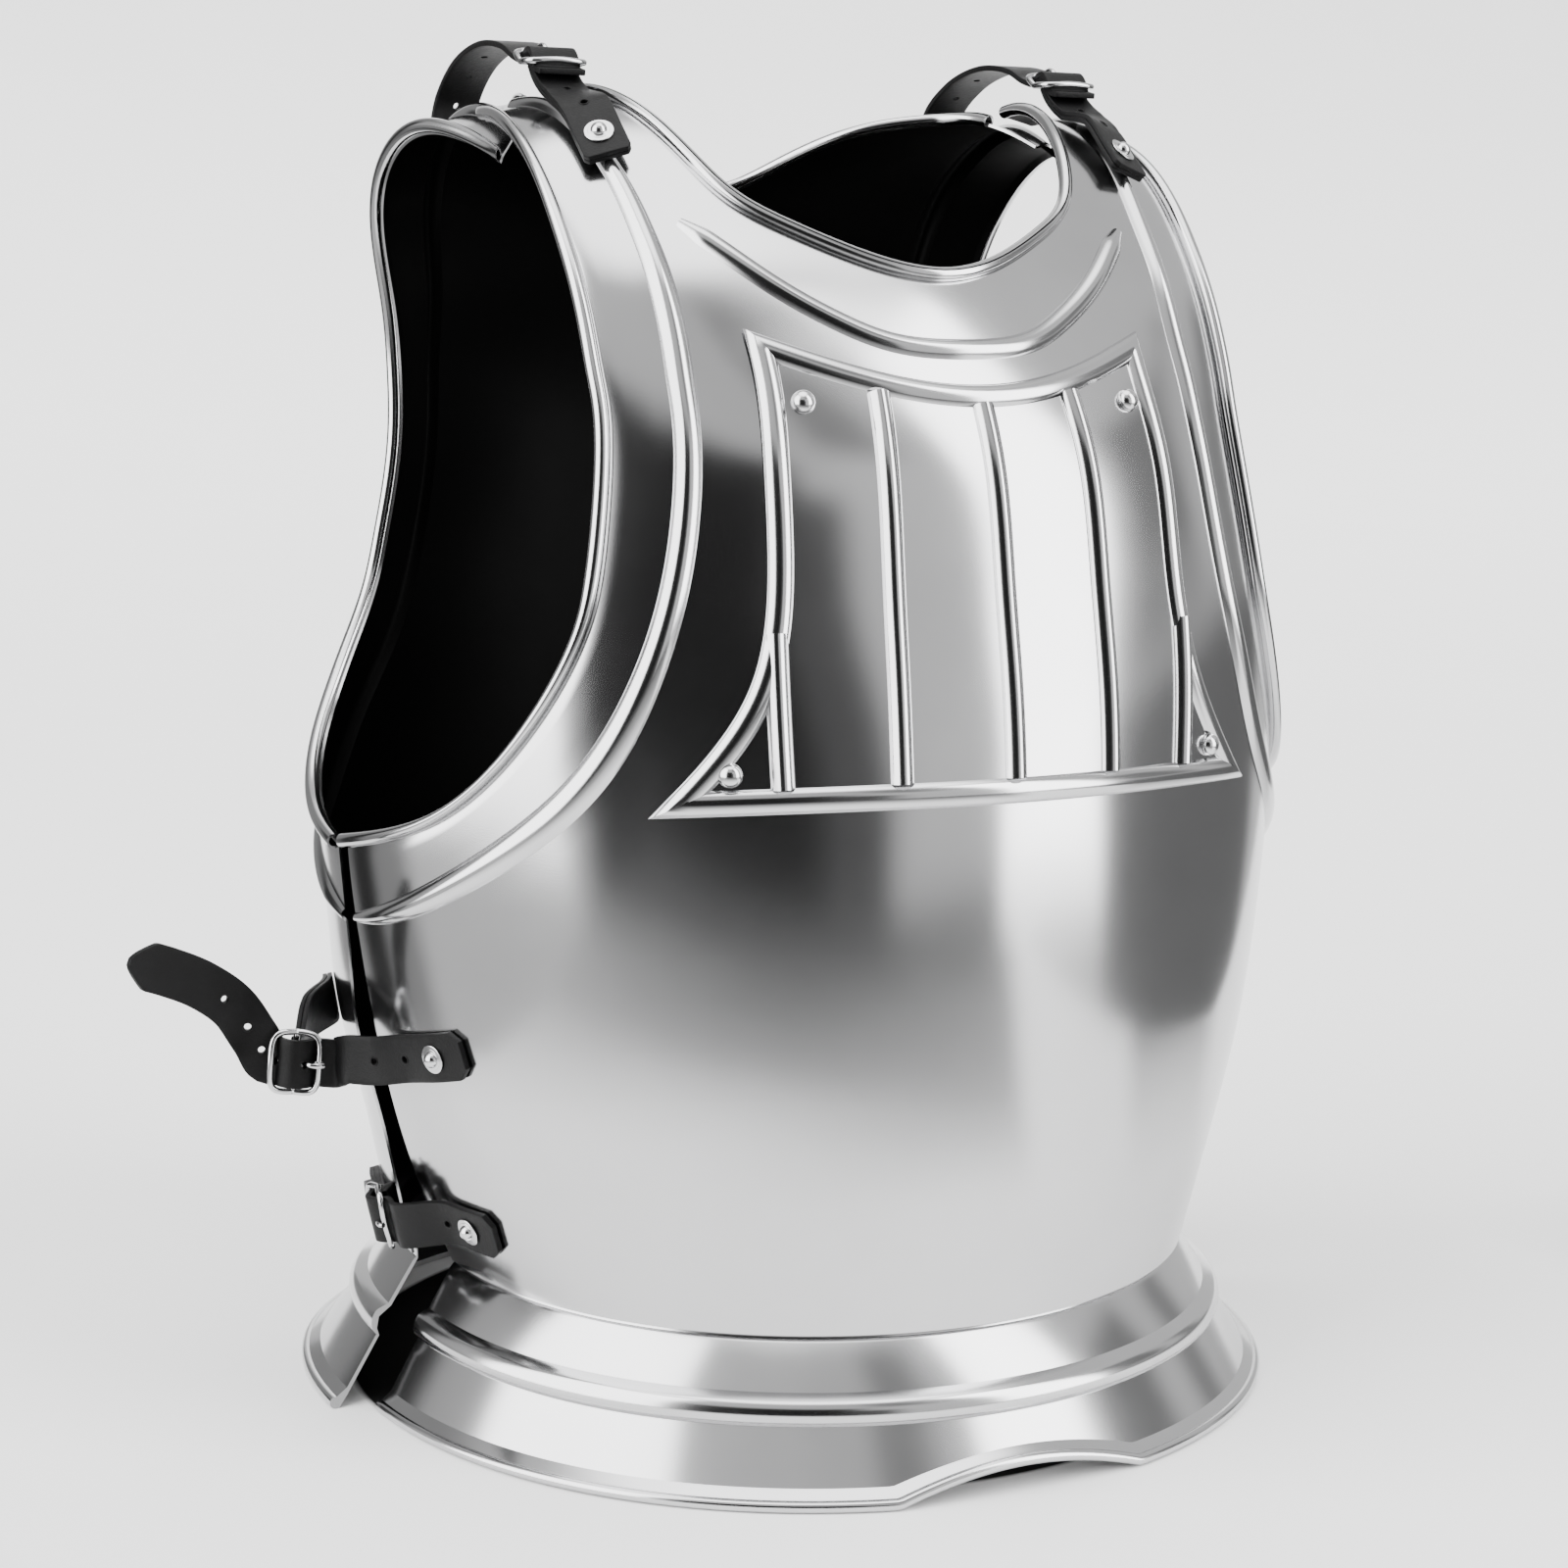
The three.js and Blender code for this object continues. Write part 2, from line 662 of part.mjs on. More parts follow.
function mergeClean(source) {
  const g = source.clone();
  g.deleteAttribute('normal');
  g.deleteAttribute('uv');
  return dropFlat(mergeVertices(g, 1e-4));
}

// Drops the zero-area triangles a lathe leaves on its axis
function dropFlat(g) {
  const id = g.index.array;
  const keep = [];
  for (let i = 0; i < id.length; i += 3) {
    const [a, b, c] = [id[i], id[i + 1], id[i + 2]];
    if (a !== b && b !== c && a !== c) {
      keep.push(a, b, c);
    }
  }
  g.setIndex(keep);
  return g;
}

// Leather strip: rows give the middle of its underside, the way its width runs, its outward
// side and its width there
function strip(rows, thick = STRAP_T) {
  return sweep(rows.map(({ spot, across, face, width }) => {
    const corner = (s, h) => spot.clone().addScaledVector(across, (s * width) / 2).addScaledVector(face, h);
    return [corner(-1, 0), corner(-1, thick), corner(1, thick), corner(1, 0)];
  }));
}

// Strip along stops; a stop has its place on the underside and the way the width runs there
function strapAlong(stops, outwardHint, width, thick = STRAP_T) {
  const curve = new THREE.CatmullRomCurve3(stops.map((stop) => stop.p), false, 'centripetal');
  const marks = [0];
  const ways = [];
  stops.forEach(({ a }, k) => {
    ways.push(k > 0 && a.dot(ways[k - 1]) < 0 ? a.clone().negate() : a.clone());
  });
  for (let k = 0; k < stops.length - 1; k += 1) {
    const parts = Math.ceil(stops[k].p.distanceTo(stops[k + 1].p) / 6.5);
    for (let j = 1; j <= parts; j += 1) {
      marks.push(k + j / parts);
    }
  }
  const rows = marks.map((mark) => {
    const k = Math.min(Math.floor(mark), stops.length - 2);
    const t = mark / (stops.length - 1);
    const spot = curve.getPoint(t);
    const along = curve.getTangent(t);
    const across = ways[k].clone().lerp(ways[k + 1], mark - k);
    const side = across.addScaledVector(along, -across.dot(along)).normalize();
    const face = along.clone().cross(side).normalize();
    if (face.dot(outwardHint) < 0) {
      face.negate();
    }
    return { spot, across: side, face, width: width(mark, stops.length - 1) };
  });
  return strip(rows, thick);
}

const vec = (x, y, z) => new THREE.Vector3(x, y, z);

// Axes of a buckle: along the strap, across it, and away from the body
function axes(centre, along, across) {
  const u = along.clone().normalize();
  const w = across.clone().addScaledVector(u, -across.dot(u)).normalize();
  return { centre, u, w, n: u.clone().cross(w) };
}

function local(frame, u, w, h) {
  const { centre } = frame;
  return centre.clone().addScaledVector(frame.u, u).addScaledVector(frame.w, w).addScaledVector(frame.n, h);
}

// Wire buckle: an oval frame, its centre bar, and the tongue lying over the frame
function buckle(frame) {
  const ring = [...Array(16).keys()].map((i) => {
    const a = (2 * Math.PI * i) / 16;
    const [c, s] = [Math.cos(a), Math.sin(a)];
    const bulge = (Math.abs(c) ** 4.5 + Math.abs(s) ** 4.5) ** (-1 / 4.5);
    const rise = END_RISE * Math.abs(c) + BAR_DROP;
    return local(frame, BUCKLE_HALF.u * c * bulge, BUCKLE_HALF.w * s * bulge, rise);
  });
  const post = bar([-1, 0, 1].map((k) => local(frame, 0, k * BUCKLE_HALF.w, BAR_DROP)), WIRE_R * 0.95, 6);
  const tip = TONGUE.map(({ u, h }) => local(frame, u, 0, h));
  return fromSolid(join([bar(ring, WIRE_R, 6, true), post, bar(tip, WIRE_R * 0.8, 5)]));
}

// Cylinder or block used to cut leather round a buckle's bar and tongue
function barCut(frame, radius, length) {
  return bar([-1, 0, 1].map((k) => local(frame, 0, (k * length) / 2, BAR_DROP)), radius, 10);
}

function slotCut(frame, u0, u1, h0, h1) {
  const corners = [[u0, h0], [u1, h0], [u1, h1], [u0, h1]];
  const ring = (w) => corners.map(([u, h]) => local(frame, u, w, h));
  return sweep([ring(-1.8), ring(1.8)]);
}

function subtract(base, cuts) {
  return cuts.map(solid).reduce((body, cut) => body.subtract(cut), base);
}

// Stop of a strap on a plate, its width running round the body or up it
function on(skin, angle, row, lift, way) {
  const across = way === 'round' ? skin.round(angle, row) : skin.rise(angle, row);
  return { p: skin.lifted(angle, row, lift), a: across };
}

function flipped(stop) {
  return { p: vec(-stop.p.x, stop.p.y, stop.p.z), a: vec(-stop.a.x, stop.a.y, stop.a.z) };
}

// Short doubled leather that loops round the centre bar and ends under a rivet
function chape(frame, stops, outwardHint) {
  const body = join([
    barCut(frame, 3, STRAP_W - 2),
    strapAlong(stops, outwardHint, () => STRAP_W - 1.6, CHAPE_T),
  ]);
  const cuts = [barCut(frame, WIRE_R + 0.4, 40), slotCut(frame, -0.5, 5, BAR_DROP - 2.2, 4)];
  return fromSolid(subtract(body, cuts));
}

// Main strap woven through a buckle: under one side, over the bar, under the other
function woven(frame, before, after, hint, width) {
  const inside = WEAVE.map(({ u, h }) => ({ p: local(frame, u, 0, h), a: frame.w }));
  const body = solid(strapAlong([...before, ...inside, ...after], hint, width));
  return fromSolid(subtract(body, [slotCut(frame, 1.5, 7, -4, 6)]));
}

const clipStart = (mark) => STRAP_W - 1 - Math.max(0, 0.4 - mark) * 20;

// Strap over one shoulder, made for the wearer's left and mirrored for the right
function shoulderStrap(tag, flip) {
  const place = (g) => (flip ? mirrored(g) : g);
  const frame = axes(vec(SHOULDER_X, 5, 582), vec(0, 1, 0.24), vec(-1, 0, 0));
  const high = vec(0, 0.3, 1);
  const level = vec(1, 0, 0);
  const seats = [[37, 11.9, 5], [36.8, 12.35, 5], [36.8, 12.75, 6]];
  const rear = seats.map(([angle, row, lift]) => on(back, angle, row, lift, 'round'));
  SHOULDER_ARC.forEach(({ y, z }) => rear.push({ p: vec(SHOULDER_X, y, z), a: level }));
  const tail = [{ p: local(frame, -15, 0, -3), a: level }];
  add(`shoulder_strap_${tag}`, place(woven(frame, rear, tail, high, clipStart)), leather);
  const fold = [[0, -2.6], [-5, -6.4], [-12, -9.6], [-22, -12]];
  const low = fold.map(([u, h]) => ({ p: local(frame, u, 0, h), a: level }));
  SHOULDER_CHAPE.forEach(({ y, z }) => low.push({ p: vec(SHOULDER_X - 1, y, z), a: vec(0.93, 0.22, -0.29) }));
  add(`shoulder_chape_${tag}`, place(chape(frame, low, high)), leather);
  add(`shoulder_buckle_${tag}`, place(buckle(frame)), wire);
  const [, seat, end] = low.slice(-3);
  const face = end.p.clone().sub(seat.p).cross(seat.a).normalize();
  const rivetFront = seat.p.clone().addScaledVector(face, CHAPE_T + GAP);
  add(`shoulder_rivet_front_${tag}`, place(rivet(rivetFront, face, RIVET)), wire);
  const rivetBack = back.lifted(36.9, 12.2, 5.1 + STRAP_T + GAP);
  add(`shoulder_rivet_back_${tag}`, place(rivet(rivetBack, back.normal(36.9, 12.2), RIVET)), wire);
}

// Side strap that lies close to the plates; it drops a little from the front row to the back
function sideStrap(tag, flip, row, backRow) {
  const place = (g) => (flip ? mirrored(g) : g);
  const seam = back.lifted(88, row - 0.15, 9);
  seam.y = 9;
  const frame = axes(seam, vec(0.05, -1, 0), back.rise(88, row).negate());
  const outside = vec(1, 0, 0);
  const seats = [[70.5, 0.7], [75.8, 0.7], [80.5, 1.6]];
  const lead = seats.map(([angle, lift]) => on(front, angle, row, lift, 'up'));
  const under = { p: local(frame, -17, 0, -3), a: frame.w };
  const tail = [under, on(back, 77, backRow, 7.2, 'up')];
  add(`side_strap_${tag}`, place(woven(frame, lead, tail, outside, clipStart)), leather);
  const low = [{ p: local(frame, 0, 0, -4), a: frame.w }, { p: local(frame, -6, 0, -8.6), a: frame.w },
    on(back, 80, backRow, 1, 'up'), on(back, 74, backRow, 0.9, 'up'), on(back, 69, backRow, 0.9, 'up')];
  add(`side_chape_${tag}`, place(chape(frame, low, outside)), leather);
  add(`side_buckle_${tag}`, place(buckle(frame)), wire);
  const rivetSpot = front.lifted(75.8, row, 0.8 + STRAP_T + GAP);
  add(`side_rivet_${tag}`, place(rivet(rivetSpot, front.normal(75.8, row), RIVET)), wire);
}

// Right upper strap, standing away from the plates with its long end curling up and out
function standingStrap(tag) {
  const frame = axes(vec(-243, 6, 156.5), vec(0.94, -0.32, -0.08), vec(0, 0, 1));
  const outside = vec(-0.7, -0.7, 0);
  const seats = [[69.8, 3.09, 0.8], [74.6, 2.98, 0.8], [81, 2.85, 1.2]];
  const lead = seats.map(([angle, row, lift]) => flipped(on(front, angle, row, lift, 'up')));
  lead.push({ p: vec(-214, -16, 159.5), a: frame.w }, { p: vec(-222, -4, 158), a: frame.w });
  const tail = FREE_END.map(({ x, y, z }) => ({ p: vec(x, y, z), a: frame.w }));
  const width = (mark, end) => clipStart(mark) - Math.max(0, mark - end + 0.4) * 34;
  add(`side_strap_${tag}`, woven(frame, lead, tail, outside, width), leather);
  const low = [{ p: local(frame, 1.8, 0, -2), a: frame.w }, { p: local(frame, 3.4, 0, -12), a: frame.w },
    { p: vec(-226, 34, 167), a: frame.w },
    flipped(on(back, 76, 3.02, 1.6, 'up')),
    flipped(on(back, 71, 3.0, 1.2, 'up')),
  ];
  add(`side_chape_${tag}`, chape(frame, low, vec(-1, 0.2, 0)), leather);
  add(`side_buckle_${tag}`, buckle(frame), wire);
  const spot = flipped({ p: front.lifted(74.6, 2.98, 0.9 + STRAP_T + GAP), a: front.normal(74.6, 2.98) });
  add(`side_rivet_${tag}`, rivet(spot.p, spot.a, RIVET), wire);
}

// Four rivets through the corners of the chest panel
function panelRivets() {
  const lift = PANEL_LIFT + SHEET + PANEL_BORDER[1] + GAP;
  [['upper', 29, 9.9], ['lower', 37, 6.2]].forEach(([level, angle, row]) => {
    [['left', 1], ['right', -1]].forEach(([side, sign]) => {
      const spot = front.lifted(sign * angle, row, lift);
      add(`panel_rivet_${level}_${side}`, rivet(spot, front.normal(sign * angle, row), PANEL_RIVET), wire);
    });
  });
}

add('breastplate', breastplate(), steel);
add('chest_panel', chestPanel(), steel);
panelRivets();
add('front_flange', skirt(front, 1, ARCH_RISE, FRONT_SKIRT_ENDS), steel);
add('backplate', backplate(), steel);
add('rear_flange', skirt(back, 1.1, 0, REAR_SKIRT_ENDS), steel);
shoulderStrap('left', false);
shoulderStrap('right', true);
sideStrap('lower_left', false, 0.84, 0.5);
sideStrap('lower_right', true, 0.84, 0.5);
sideStrap('upper_left', false, 3.0, 2.9);
standingStrap('upper_right');

const box = new THREE.Box3().setFromObject(group);
group.position.set(-(box.min.x + box.max.x) / 2, -(box.min.y + box.max.y) / 2, -box.min.z);
group.updateMatrixWorld(true);

export default group;
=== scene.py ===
"""Steel cuirass: breastplate with a ribbed chest panel, backplate, flared skirts and black
leather straps, with the floor and studio it stands in. Metres, +Z up, the chest faces -Y.

Shapes are worked out on the wearer's own axes (x from the middle plane, y from the side
seams, z from the floor) in millimetres, and shifted into the frame at the end of each piece."""

import math

import bmesh
import bpy
from bpy.props import FloatProperty, IntProperty, PointerProperty
from mathutils import Matrix, Vector


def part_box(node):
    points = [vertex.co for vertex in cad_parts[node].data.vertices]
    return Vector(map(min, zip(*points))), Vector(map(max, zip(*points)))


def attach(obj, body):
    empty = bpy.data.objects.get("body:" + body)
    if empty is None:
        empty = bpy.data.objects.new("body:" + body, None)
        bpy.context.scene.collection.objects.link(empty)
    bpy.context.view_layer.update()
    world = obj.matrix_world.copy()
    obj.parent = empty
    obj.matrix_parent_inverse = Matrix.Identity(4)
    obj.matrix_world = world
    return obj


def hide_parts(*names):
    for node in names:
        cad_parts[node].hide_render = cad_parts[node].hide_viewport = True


bl_info = {
    "name": "Steel cuirass",
    "version": (1, 0, 0),
    "blender": (4, 5, 0),
    "location": "View3D > Sidebar > Cuirass",
    "description": "Builds a polished steel cuirass with leather straps and its studio",
    "category": "Object",
}

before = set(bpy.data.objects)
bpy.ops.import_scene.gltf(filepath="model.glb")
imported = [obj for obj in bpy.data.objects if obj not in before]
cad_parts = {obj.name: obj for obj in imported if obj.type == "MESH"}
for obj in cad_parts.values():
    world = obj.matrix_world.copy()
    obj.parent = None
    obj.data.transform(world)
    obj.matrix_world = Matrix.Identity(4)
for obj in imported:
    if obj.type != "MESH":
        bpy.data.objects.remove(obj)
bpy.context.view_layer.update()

MM = 0.001
PLATE_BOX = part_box("breastplate")
CHEST_REACH = 184.09   # how far the chest stands before the side seams
SHIFT = Vector((
    (PLATE_BOX[0].x + PLATE_BOX[1].x) / 2,
    PLATE_BOX[0].y + CHEST_REACH * MM,
    0.0,
))
FRONT, BACK = -1, 1


def table(names, rows):
    """Rows with named columns."""
    keys = names.split()
    return [dict(zip(keys, row)) for row in rows]


# Sections of each plate from the waist up: height and tilt of the section plane, and its
# radius at 0, 30, 60 and 90 degrees from the centre line round to the side seam
SECTION = "height tilt r0 r30 r60 r90"
FRONT_SECTIONS = table(SECTION, [
    (62, 0, 175, 176, 177, 175),
    (95, 0, 179, 181, 186, 189),
    (132, 0, 183, 185, 195, 201),
    (170, 0, 184, 188, 202, 210),
    (210, 0, 184, 188, 206, 217),
    (250, 0, 183, 187, 208, 222),
    (290, 0, 181, 185, 208, 223),
    (330, 0, 176, 182, 207, 222),
    (370, 0, 168, 176, 203, 219),
    (405, 3, 159, 168, 195, 214),
    (418, 12, 146, 157, 190, 210),
    (418, 25, 138, 150, 190, 210),
    (418, 39, 134, 149, 193, 214),
    (418, 53, 133, 151, 199, 222),
    (418, 67, 138, 160, 208, 232),
    (418, 81, 146, 171, 217, 240),
    (418, 95, 150, 179, 223, 245),
    (418, 109, 152, 184, 227, 248),
])
BACK_SECTIONS = table(SECTION, [
    (62, 0, 160, 167, 186, 188),
    (95, 0, 163, 171, 193, 196),
    (132, 0, 168, 176, 200, 205),
    (170, 0, 174, 183, 208, 215),
    (210, 0, 180, 189, 213, 219),
    (250, 0, 184, 193, 216, 223),
    (290, 0, 187, 195, 216, 225),
    (330, 0, 189, 195, 213, 224),
    (370, 0, 190, 195, 210, 221),
    (405, 3, 190, 193, 206, 217),
    (418, 12, 188, 193, 209, 220),
    (418, 25, 187, 195, 222, 233),
    (418, 39, 184, 204, 240, 252),
    (418, 53, 174, 202, 245, 258),
    (418, 67, 159, 190, 234, 250),
    (418, 81, 146, 166, 214, 234),
    (418, 95, 136, 151, 203, 226),
])

# Lines of each half plate, as angle and section row, from the side seam up to the shoulder
# end: foot of the rolled arm edge, both feet of the ridge, and the outer outline opposite
LINES = "armA armR sideA sideR chestA chestR outA outR"
FRONT_LINES = table(LINES, [
    (89, 5, 89, 4.3, 89, 4.2, 88.5, 0),
    (72, 5.5, 75, 4.8, 75, 4.5, 60, 0),
    (60, 6.5, 59, 5.8, 57, 5.5, 28, 0),
    (54, 7.5, 49.5, 7, 46.5, 6.8, 0, 0),
    (52.5, 8.5, 45.5, 8.5, 42, 8.5, 0, 5),
    (53.5, 10, 46.5, 10, 43, 10, 0, 10),
    (54, 11, 47, 11, 43.5, 11, 0, 11.7),
    (53, 12.5, 46.5, 12.5, 43.5, 12.3, 24, 12.5),
    (50.5, 14, 45.5, 13.5, 43, 13.3, 33, 13.5),
    (47, 15.5, 43.5, 15.2, 41.5, 15, 35, 15),
    (44.5, 16.5, 42.5, 16.5, 40.5, 16.5, 36.5, 16.5),
])
BACK_LINES = table(LINES, [
    (88.6, 4.95, 88.4, 4.3, 88.4, 4.16, 86.4, 0),
    (78, 5.2, 79, 4.6, 79, 4.3, 70, 0),
    (70, 5.6, 71, 4.95, 70, 4.65, 52, 0),
    (63, 6.1, 62.5, 5.5, 60.5, 5.15, 34, 0),
    (57, 6.7, 55.5, 6.2, 53, 5.9, 16, 0),
    (51.5, 7.4, 48.5, 7.0, 45.5, 6.8, 0, 0),
    (48.5, 8.2, 43.5, 8.1, 40.5, 7.9, 0, 3.6),
    (47.3, 9, 42, 9, 38.8, 9, 0, 7),
    (46.6, 10, 41.4, 10, 38.4, 10, 0, 9.8),
    (45.8, 11, 40.6, 11, 37.6, 11, 0, 11.9),
    (45, 12, 39.8, 12, 36.8, 12, 10, 12.1),
    (45.4, 13, 40.6, 13, 37.6, 12.9, 20, 12.9),
    (46.4, 14, 42, 13.9, 39, 13.8, 28.5, 13.4),
    (48, 14.8, 44.2, 14.6, 41, 14.4, 33.5, 13.7),
    (49.5, 15.3, 46, 15, 43, 14.8, 37, 14.2),
])

# Bead below the neck, from the middle to its end
NECK_BEAD = table("angle row", [
    (0, 10.6),
    (12, 10.7),
    (22, 11.1),
    (32, 11.8),
    (40, 12.8),
])

# Sides of the chest panel from bottom to top, and its middle
PANEL_LINES = table("sideA sideR middleR", [
    (45.1, 5.82, 5.9),
    (39.5, 6.35, 6.55),
    (35, 6.95, 7.2),
    (33, 7.6, 7.8),
    (32.8, 8.3, 8.4),
    (33.6, 9.1, 8.95),
    (34.6, 9.95, 9.45),
    (35.7, 10.85, 10.0),
])
PANEL_RIVETS = [("upper", 29, 9.9), ("lower", 37, 6.2)]   # angle and row on the chest
# Its ribs from the middle outwards: angle at the foot and the top, share of the height
PANEL_RIBS = table("footA topA part", [
    (0, 0, 1),
    (15.6, 17.4, 1),
    (30.6, 32, 0.42),
])

# Skirt section from the waist down and back up inside: out from the waist line, height
SKIRT_OUTSIDE = [
    (-1.9, 72), (-2.4, 61.5), (-2.1, 60.2), (-0.4, 58.6), (11, 41.6), (15.6, 39.6), (16.6, 38.8),
    (17.7, 37.2), (18.5, 35.2), (18.8, 33.2), (18.5, 31.2), (17.8, 29.8), (17.0, 29.0),
    (30.9, 8.2), (34.6, 5.6),
]
SKIRT_RIM = (36.1, 2.5, 2.5)   # rolled rim: out, height, radius
SKIRT_INSIDE = [
    (31.2, 5.0), (15.9, 28.4), (16.6, 31.5), (15.4, 36.4), (10, 40.4), (-2.8, 59.4), (-3.1, 72),
]
WAIST_Z = 60.0
ARCH_TOP, ARCH_DEPTH = 29, 23   # height below which the arch lifts the rim, and over how much
ARCH_PULL = 0.65                # how far the lifted rim draws in, as a share of its rise
BACK_SPREAD = 1.1               # the back skirt stands out further than the front one
FRONT_SKIRT_ENDS = (86.8, 89.4)   # degrees round to the skirt's end at the floor and the waist
BACK_SKIRT_ENDS = (90.2, 86.3)
SKIRT_CREASE = 20   # degrees between two faces of a skirt from which their edge stays sharp

# Buckle: half length along the strap and half height across it; tongue and strap paths
BUCKLE_HALF = (10.3, 13.2)
SQUARENESS = 4.5       # 2 would be an ellipse, more is squarer
BAR_DROP = -0.8
END_RISE = 3.2
TONGUE_LOOP = 1.9
TONGUE = [(0, -0.8), (3.5, 1.5), (6.5, 4.3), (10.3, 4.7), (12.2, 3.8)]
WEAVE = [
    (18, -3), (11.5, -3.2), (8, -2.8), (3.6, 1.6), (0, 3.2), (-3.6, 1.6), (-8, -2.8), (-11.5, -3.2),
]


# ---- numbers and curves

def natural(values):
    """Natural cubic through evenly spaced values."""
    n = len(values)
    gain, part, bend = [0.0] * n, [0.0] * n, [0.0] * n
    for i in range(1, n - 1):
        gain[i] = 1 / (4 - gain[i - 1])
        part[i] = gain[i] * (6 * (values[i + 1] - 2 * values[i] + values[i - 1]) - part[i - 1])
    for i in range(n - 2, 0, -1):
        bend[i] = part[i] - gain[i] * bend[i + 1]

    def value(u):
        i = min(max(int(u), 0), n - 2)
        t = u - i
        s = 1 - t
        curve = (s ** 3 - s) * bend[i] + (t ** 3 - t) * bend[i + 1]
        return s * values[i] + t * values[i + 1] + curve / 6

    return value


def columns(rows):
    """Smooth functions of the row number, one for each named column."""
    return {key: natural([row[key] for row in rows]) for key in rows[0]}


def outline(rows):
    """Outer outline of a half plate: straight along the waist and up the middle, then a
    smooth neckline that crosses the middle level."""
    neck = max(i for i, row in enumerate(rows) if row["outA"] == 0)
    part = rows[neck:]
    angle, level = mirrored(part, "outA"), mirrored(part, "outR")

    def spot(u):
        if u >= neck:
            v = u - neck + len(part) - 1
            return (0.0 if u == neck else angle(v), level(v))
        i = int(u)
        t = u - i
        a, b = rows[i], rows[i + 1]
        return (a["outA"] + (b["outA"] - a["outA"]) * t, a["outR"] + (b["outR"] - a["outR"]) * t)

    return spot, neck


def mirrored(rows, key):
    """Smooth curve of a column from its negative end through the middle row to its own end."""
    sign = -1 if key in ("angle", "outA") else 1
    return natural([sign * row[key] for row in rows[:0:-1]] + [row[key] for row in rows])


def blend(p, q, t):
    """Point at share t of the way from p to q."""
    return (p[0] + (q[0] - p[0]) * t, p[1] + (q[1] - p[1]) * t)


class Skin:
    """Outer face of a plate as a function of angle and section row, in millimetres."""

    def __init__(self, rows, side):
        self.side = side
        self.at = columns(rows)

    def point(self, angle, row):
        r0, r30, r60, r90 = (self.at[key](row) for key in ("r0", "r30", "r60", "r90"))
        a, tilt = math.radians(angle), math.radians(self.at["tilt"](row))
        r = (r0 + 2 * r30 + 2 * r60 + r90) / 6
        r += (r0 + r30 - r60 - r90) / 3 * math.cos(2 * a)
        r += (r0 - r30 - r60 + r90) / 3 * math.cos(4 * a)
        r += (r0 - 2 * r30 + 2 * r60 - r90) / 6 * math.cos(6 * a)
        reach = r * math.cos(a)
        height = self.at["height"](row) + reach * math.sin(tilt)
        return Vector((r * math.sin(a), self.side * reach * math.cos(tilt), height))

    def across(self, angle, row):
        return (self.point(angle + 0.5, row) - self.point(angle - 0.5, row)).normalized()

    def rise(self, angle, row):
        return (self.point(angle, row + 0.05) - self.point(angle, row - 0.05)).normalized()

    def normal(self, angle, row):
        n = self.across(angle, row).cross(self.rise(angle, row)) * -self.side
        if angle == 0:
            n.x = 0
        return n.normalized()

    def lifted(self, angle, row, lift):
        return self.point(angle, row) + self.normal(angle, row) * lift


front = Skin(FRONT_SECTIONS, FRONT)
back = Skin(BACK_SECTIONS, BACK)
INSIDE = Vector((0, 0, 250))   # a point within the body, that sheets face away from


def smooth_path(points, step):
    """Centripetal curve through points, with a point at least every step millimetres. Returns
    its points, and the place of each among the given ones, counted in spans."""
    ext = [points[0] * 2 - points[1]] + list(points) + [points[-1] * 2 - points[-2]]
    out, marks = [], []
    for k in range(1, len(ext) - 2):
        p = ext[k - 1:k + 3]
        d = [max((p[i + 1] - p[i]).length, 1e-4) ** 0.5 for i in range(3)]
        t1, t2, t3 = d[0], d[0] + d[1], d[0] + d[1] + d[2]
        count = max(1, math.ceil((p[2] - p[1]).length / step))
        last = k == len(ext) - 3
        for j in range(count + (1 if last else 0)):
            t = t1 + (t2 - t1) * j / count
            a1 = p[0] * ((t1 - t) / t1) + p[1] * (t / t1)
            a2 = p[1] * ((t2 - t) / (t2 - t1)) + p[2] * ((t - t1) / (t2 - t1))
            a3 = p[2] * ((t3 - t) / (t3 - t2)) + p[3] * ((t - t2) / (t3 - t2))
            b1 = a1 * ((t2 - t) / t2) + a2 * (t / t2)
            b2 = a2 * ((t3 - t) / (t3 - t1)) + a3 * ((t - t1) / (t3 - t1))
            out.append(b1 * ((t2 - t) / (t2 - t1)) + b2 * ((t - t1) / (t2 - t1)))
            marks.append(k - 1 + j / count)
    return out, marks


# ---- objects

def select_only(obj):
    """Makes an object the only selected one, and active."""
    bpy.ops.object.select_all(action="DESELECT")
    obj.select_set(True)
    bpy.context.view_layer.objects.active = obj


def edit(obj, operator, **options):
    """Runs a mesh operator on the whole of an object in edit mode."""
    select_only(obj)
    bpy.ops.object.mode_set(mode="EDIT")
    bpy.ops.mesh.select_all(action="SELECT")
    operator(**options)
    bpy.ops.object.mode_set(mode="OBJECT")
    return obj


def apply_place(**parts):
    """Applies the active object's location, rotation and scale, or those that are named."""
    bpy.ops.object.transform_apply(**{"location": True, "rotation": True, "scale": True, **parts})


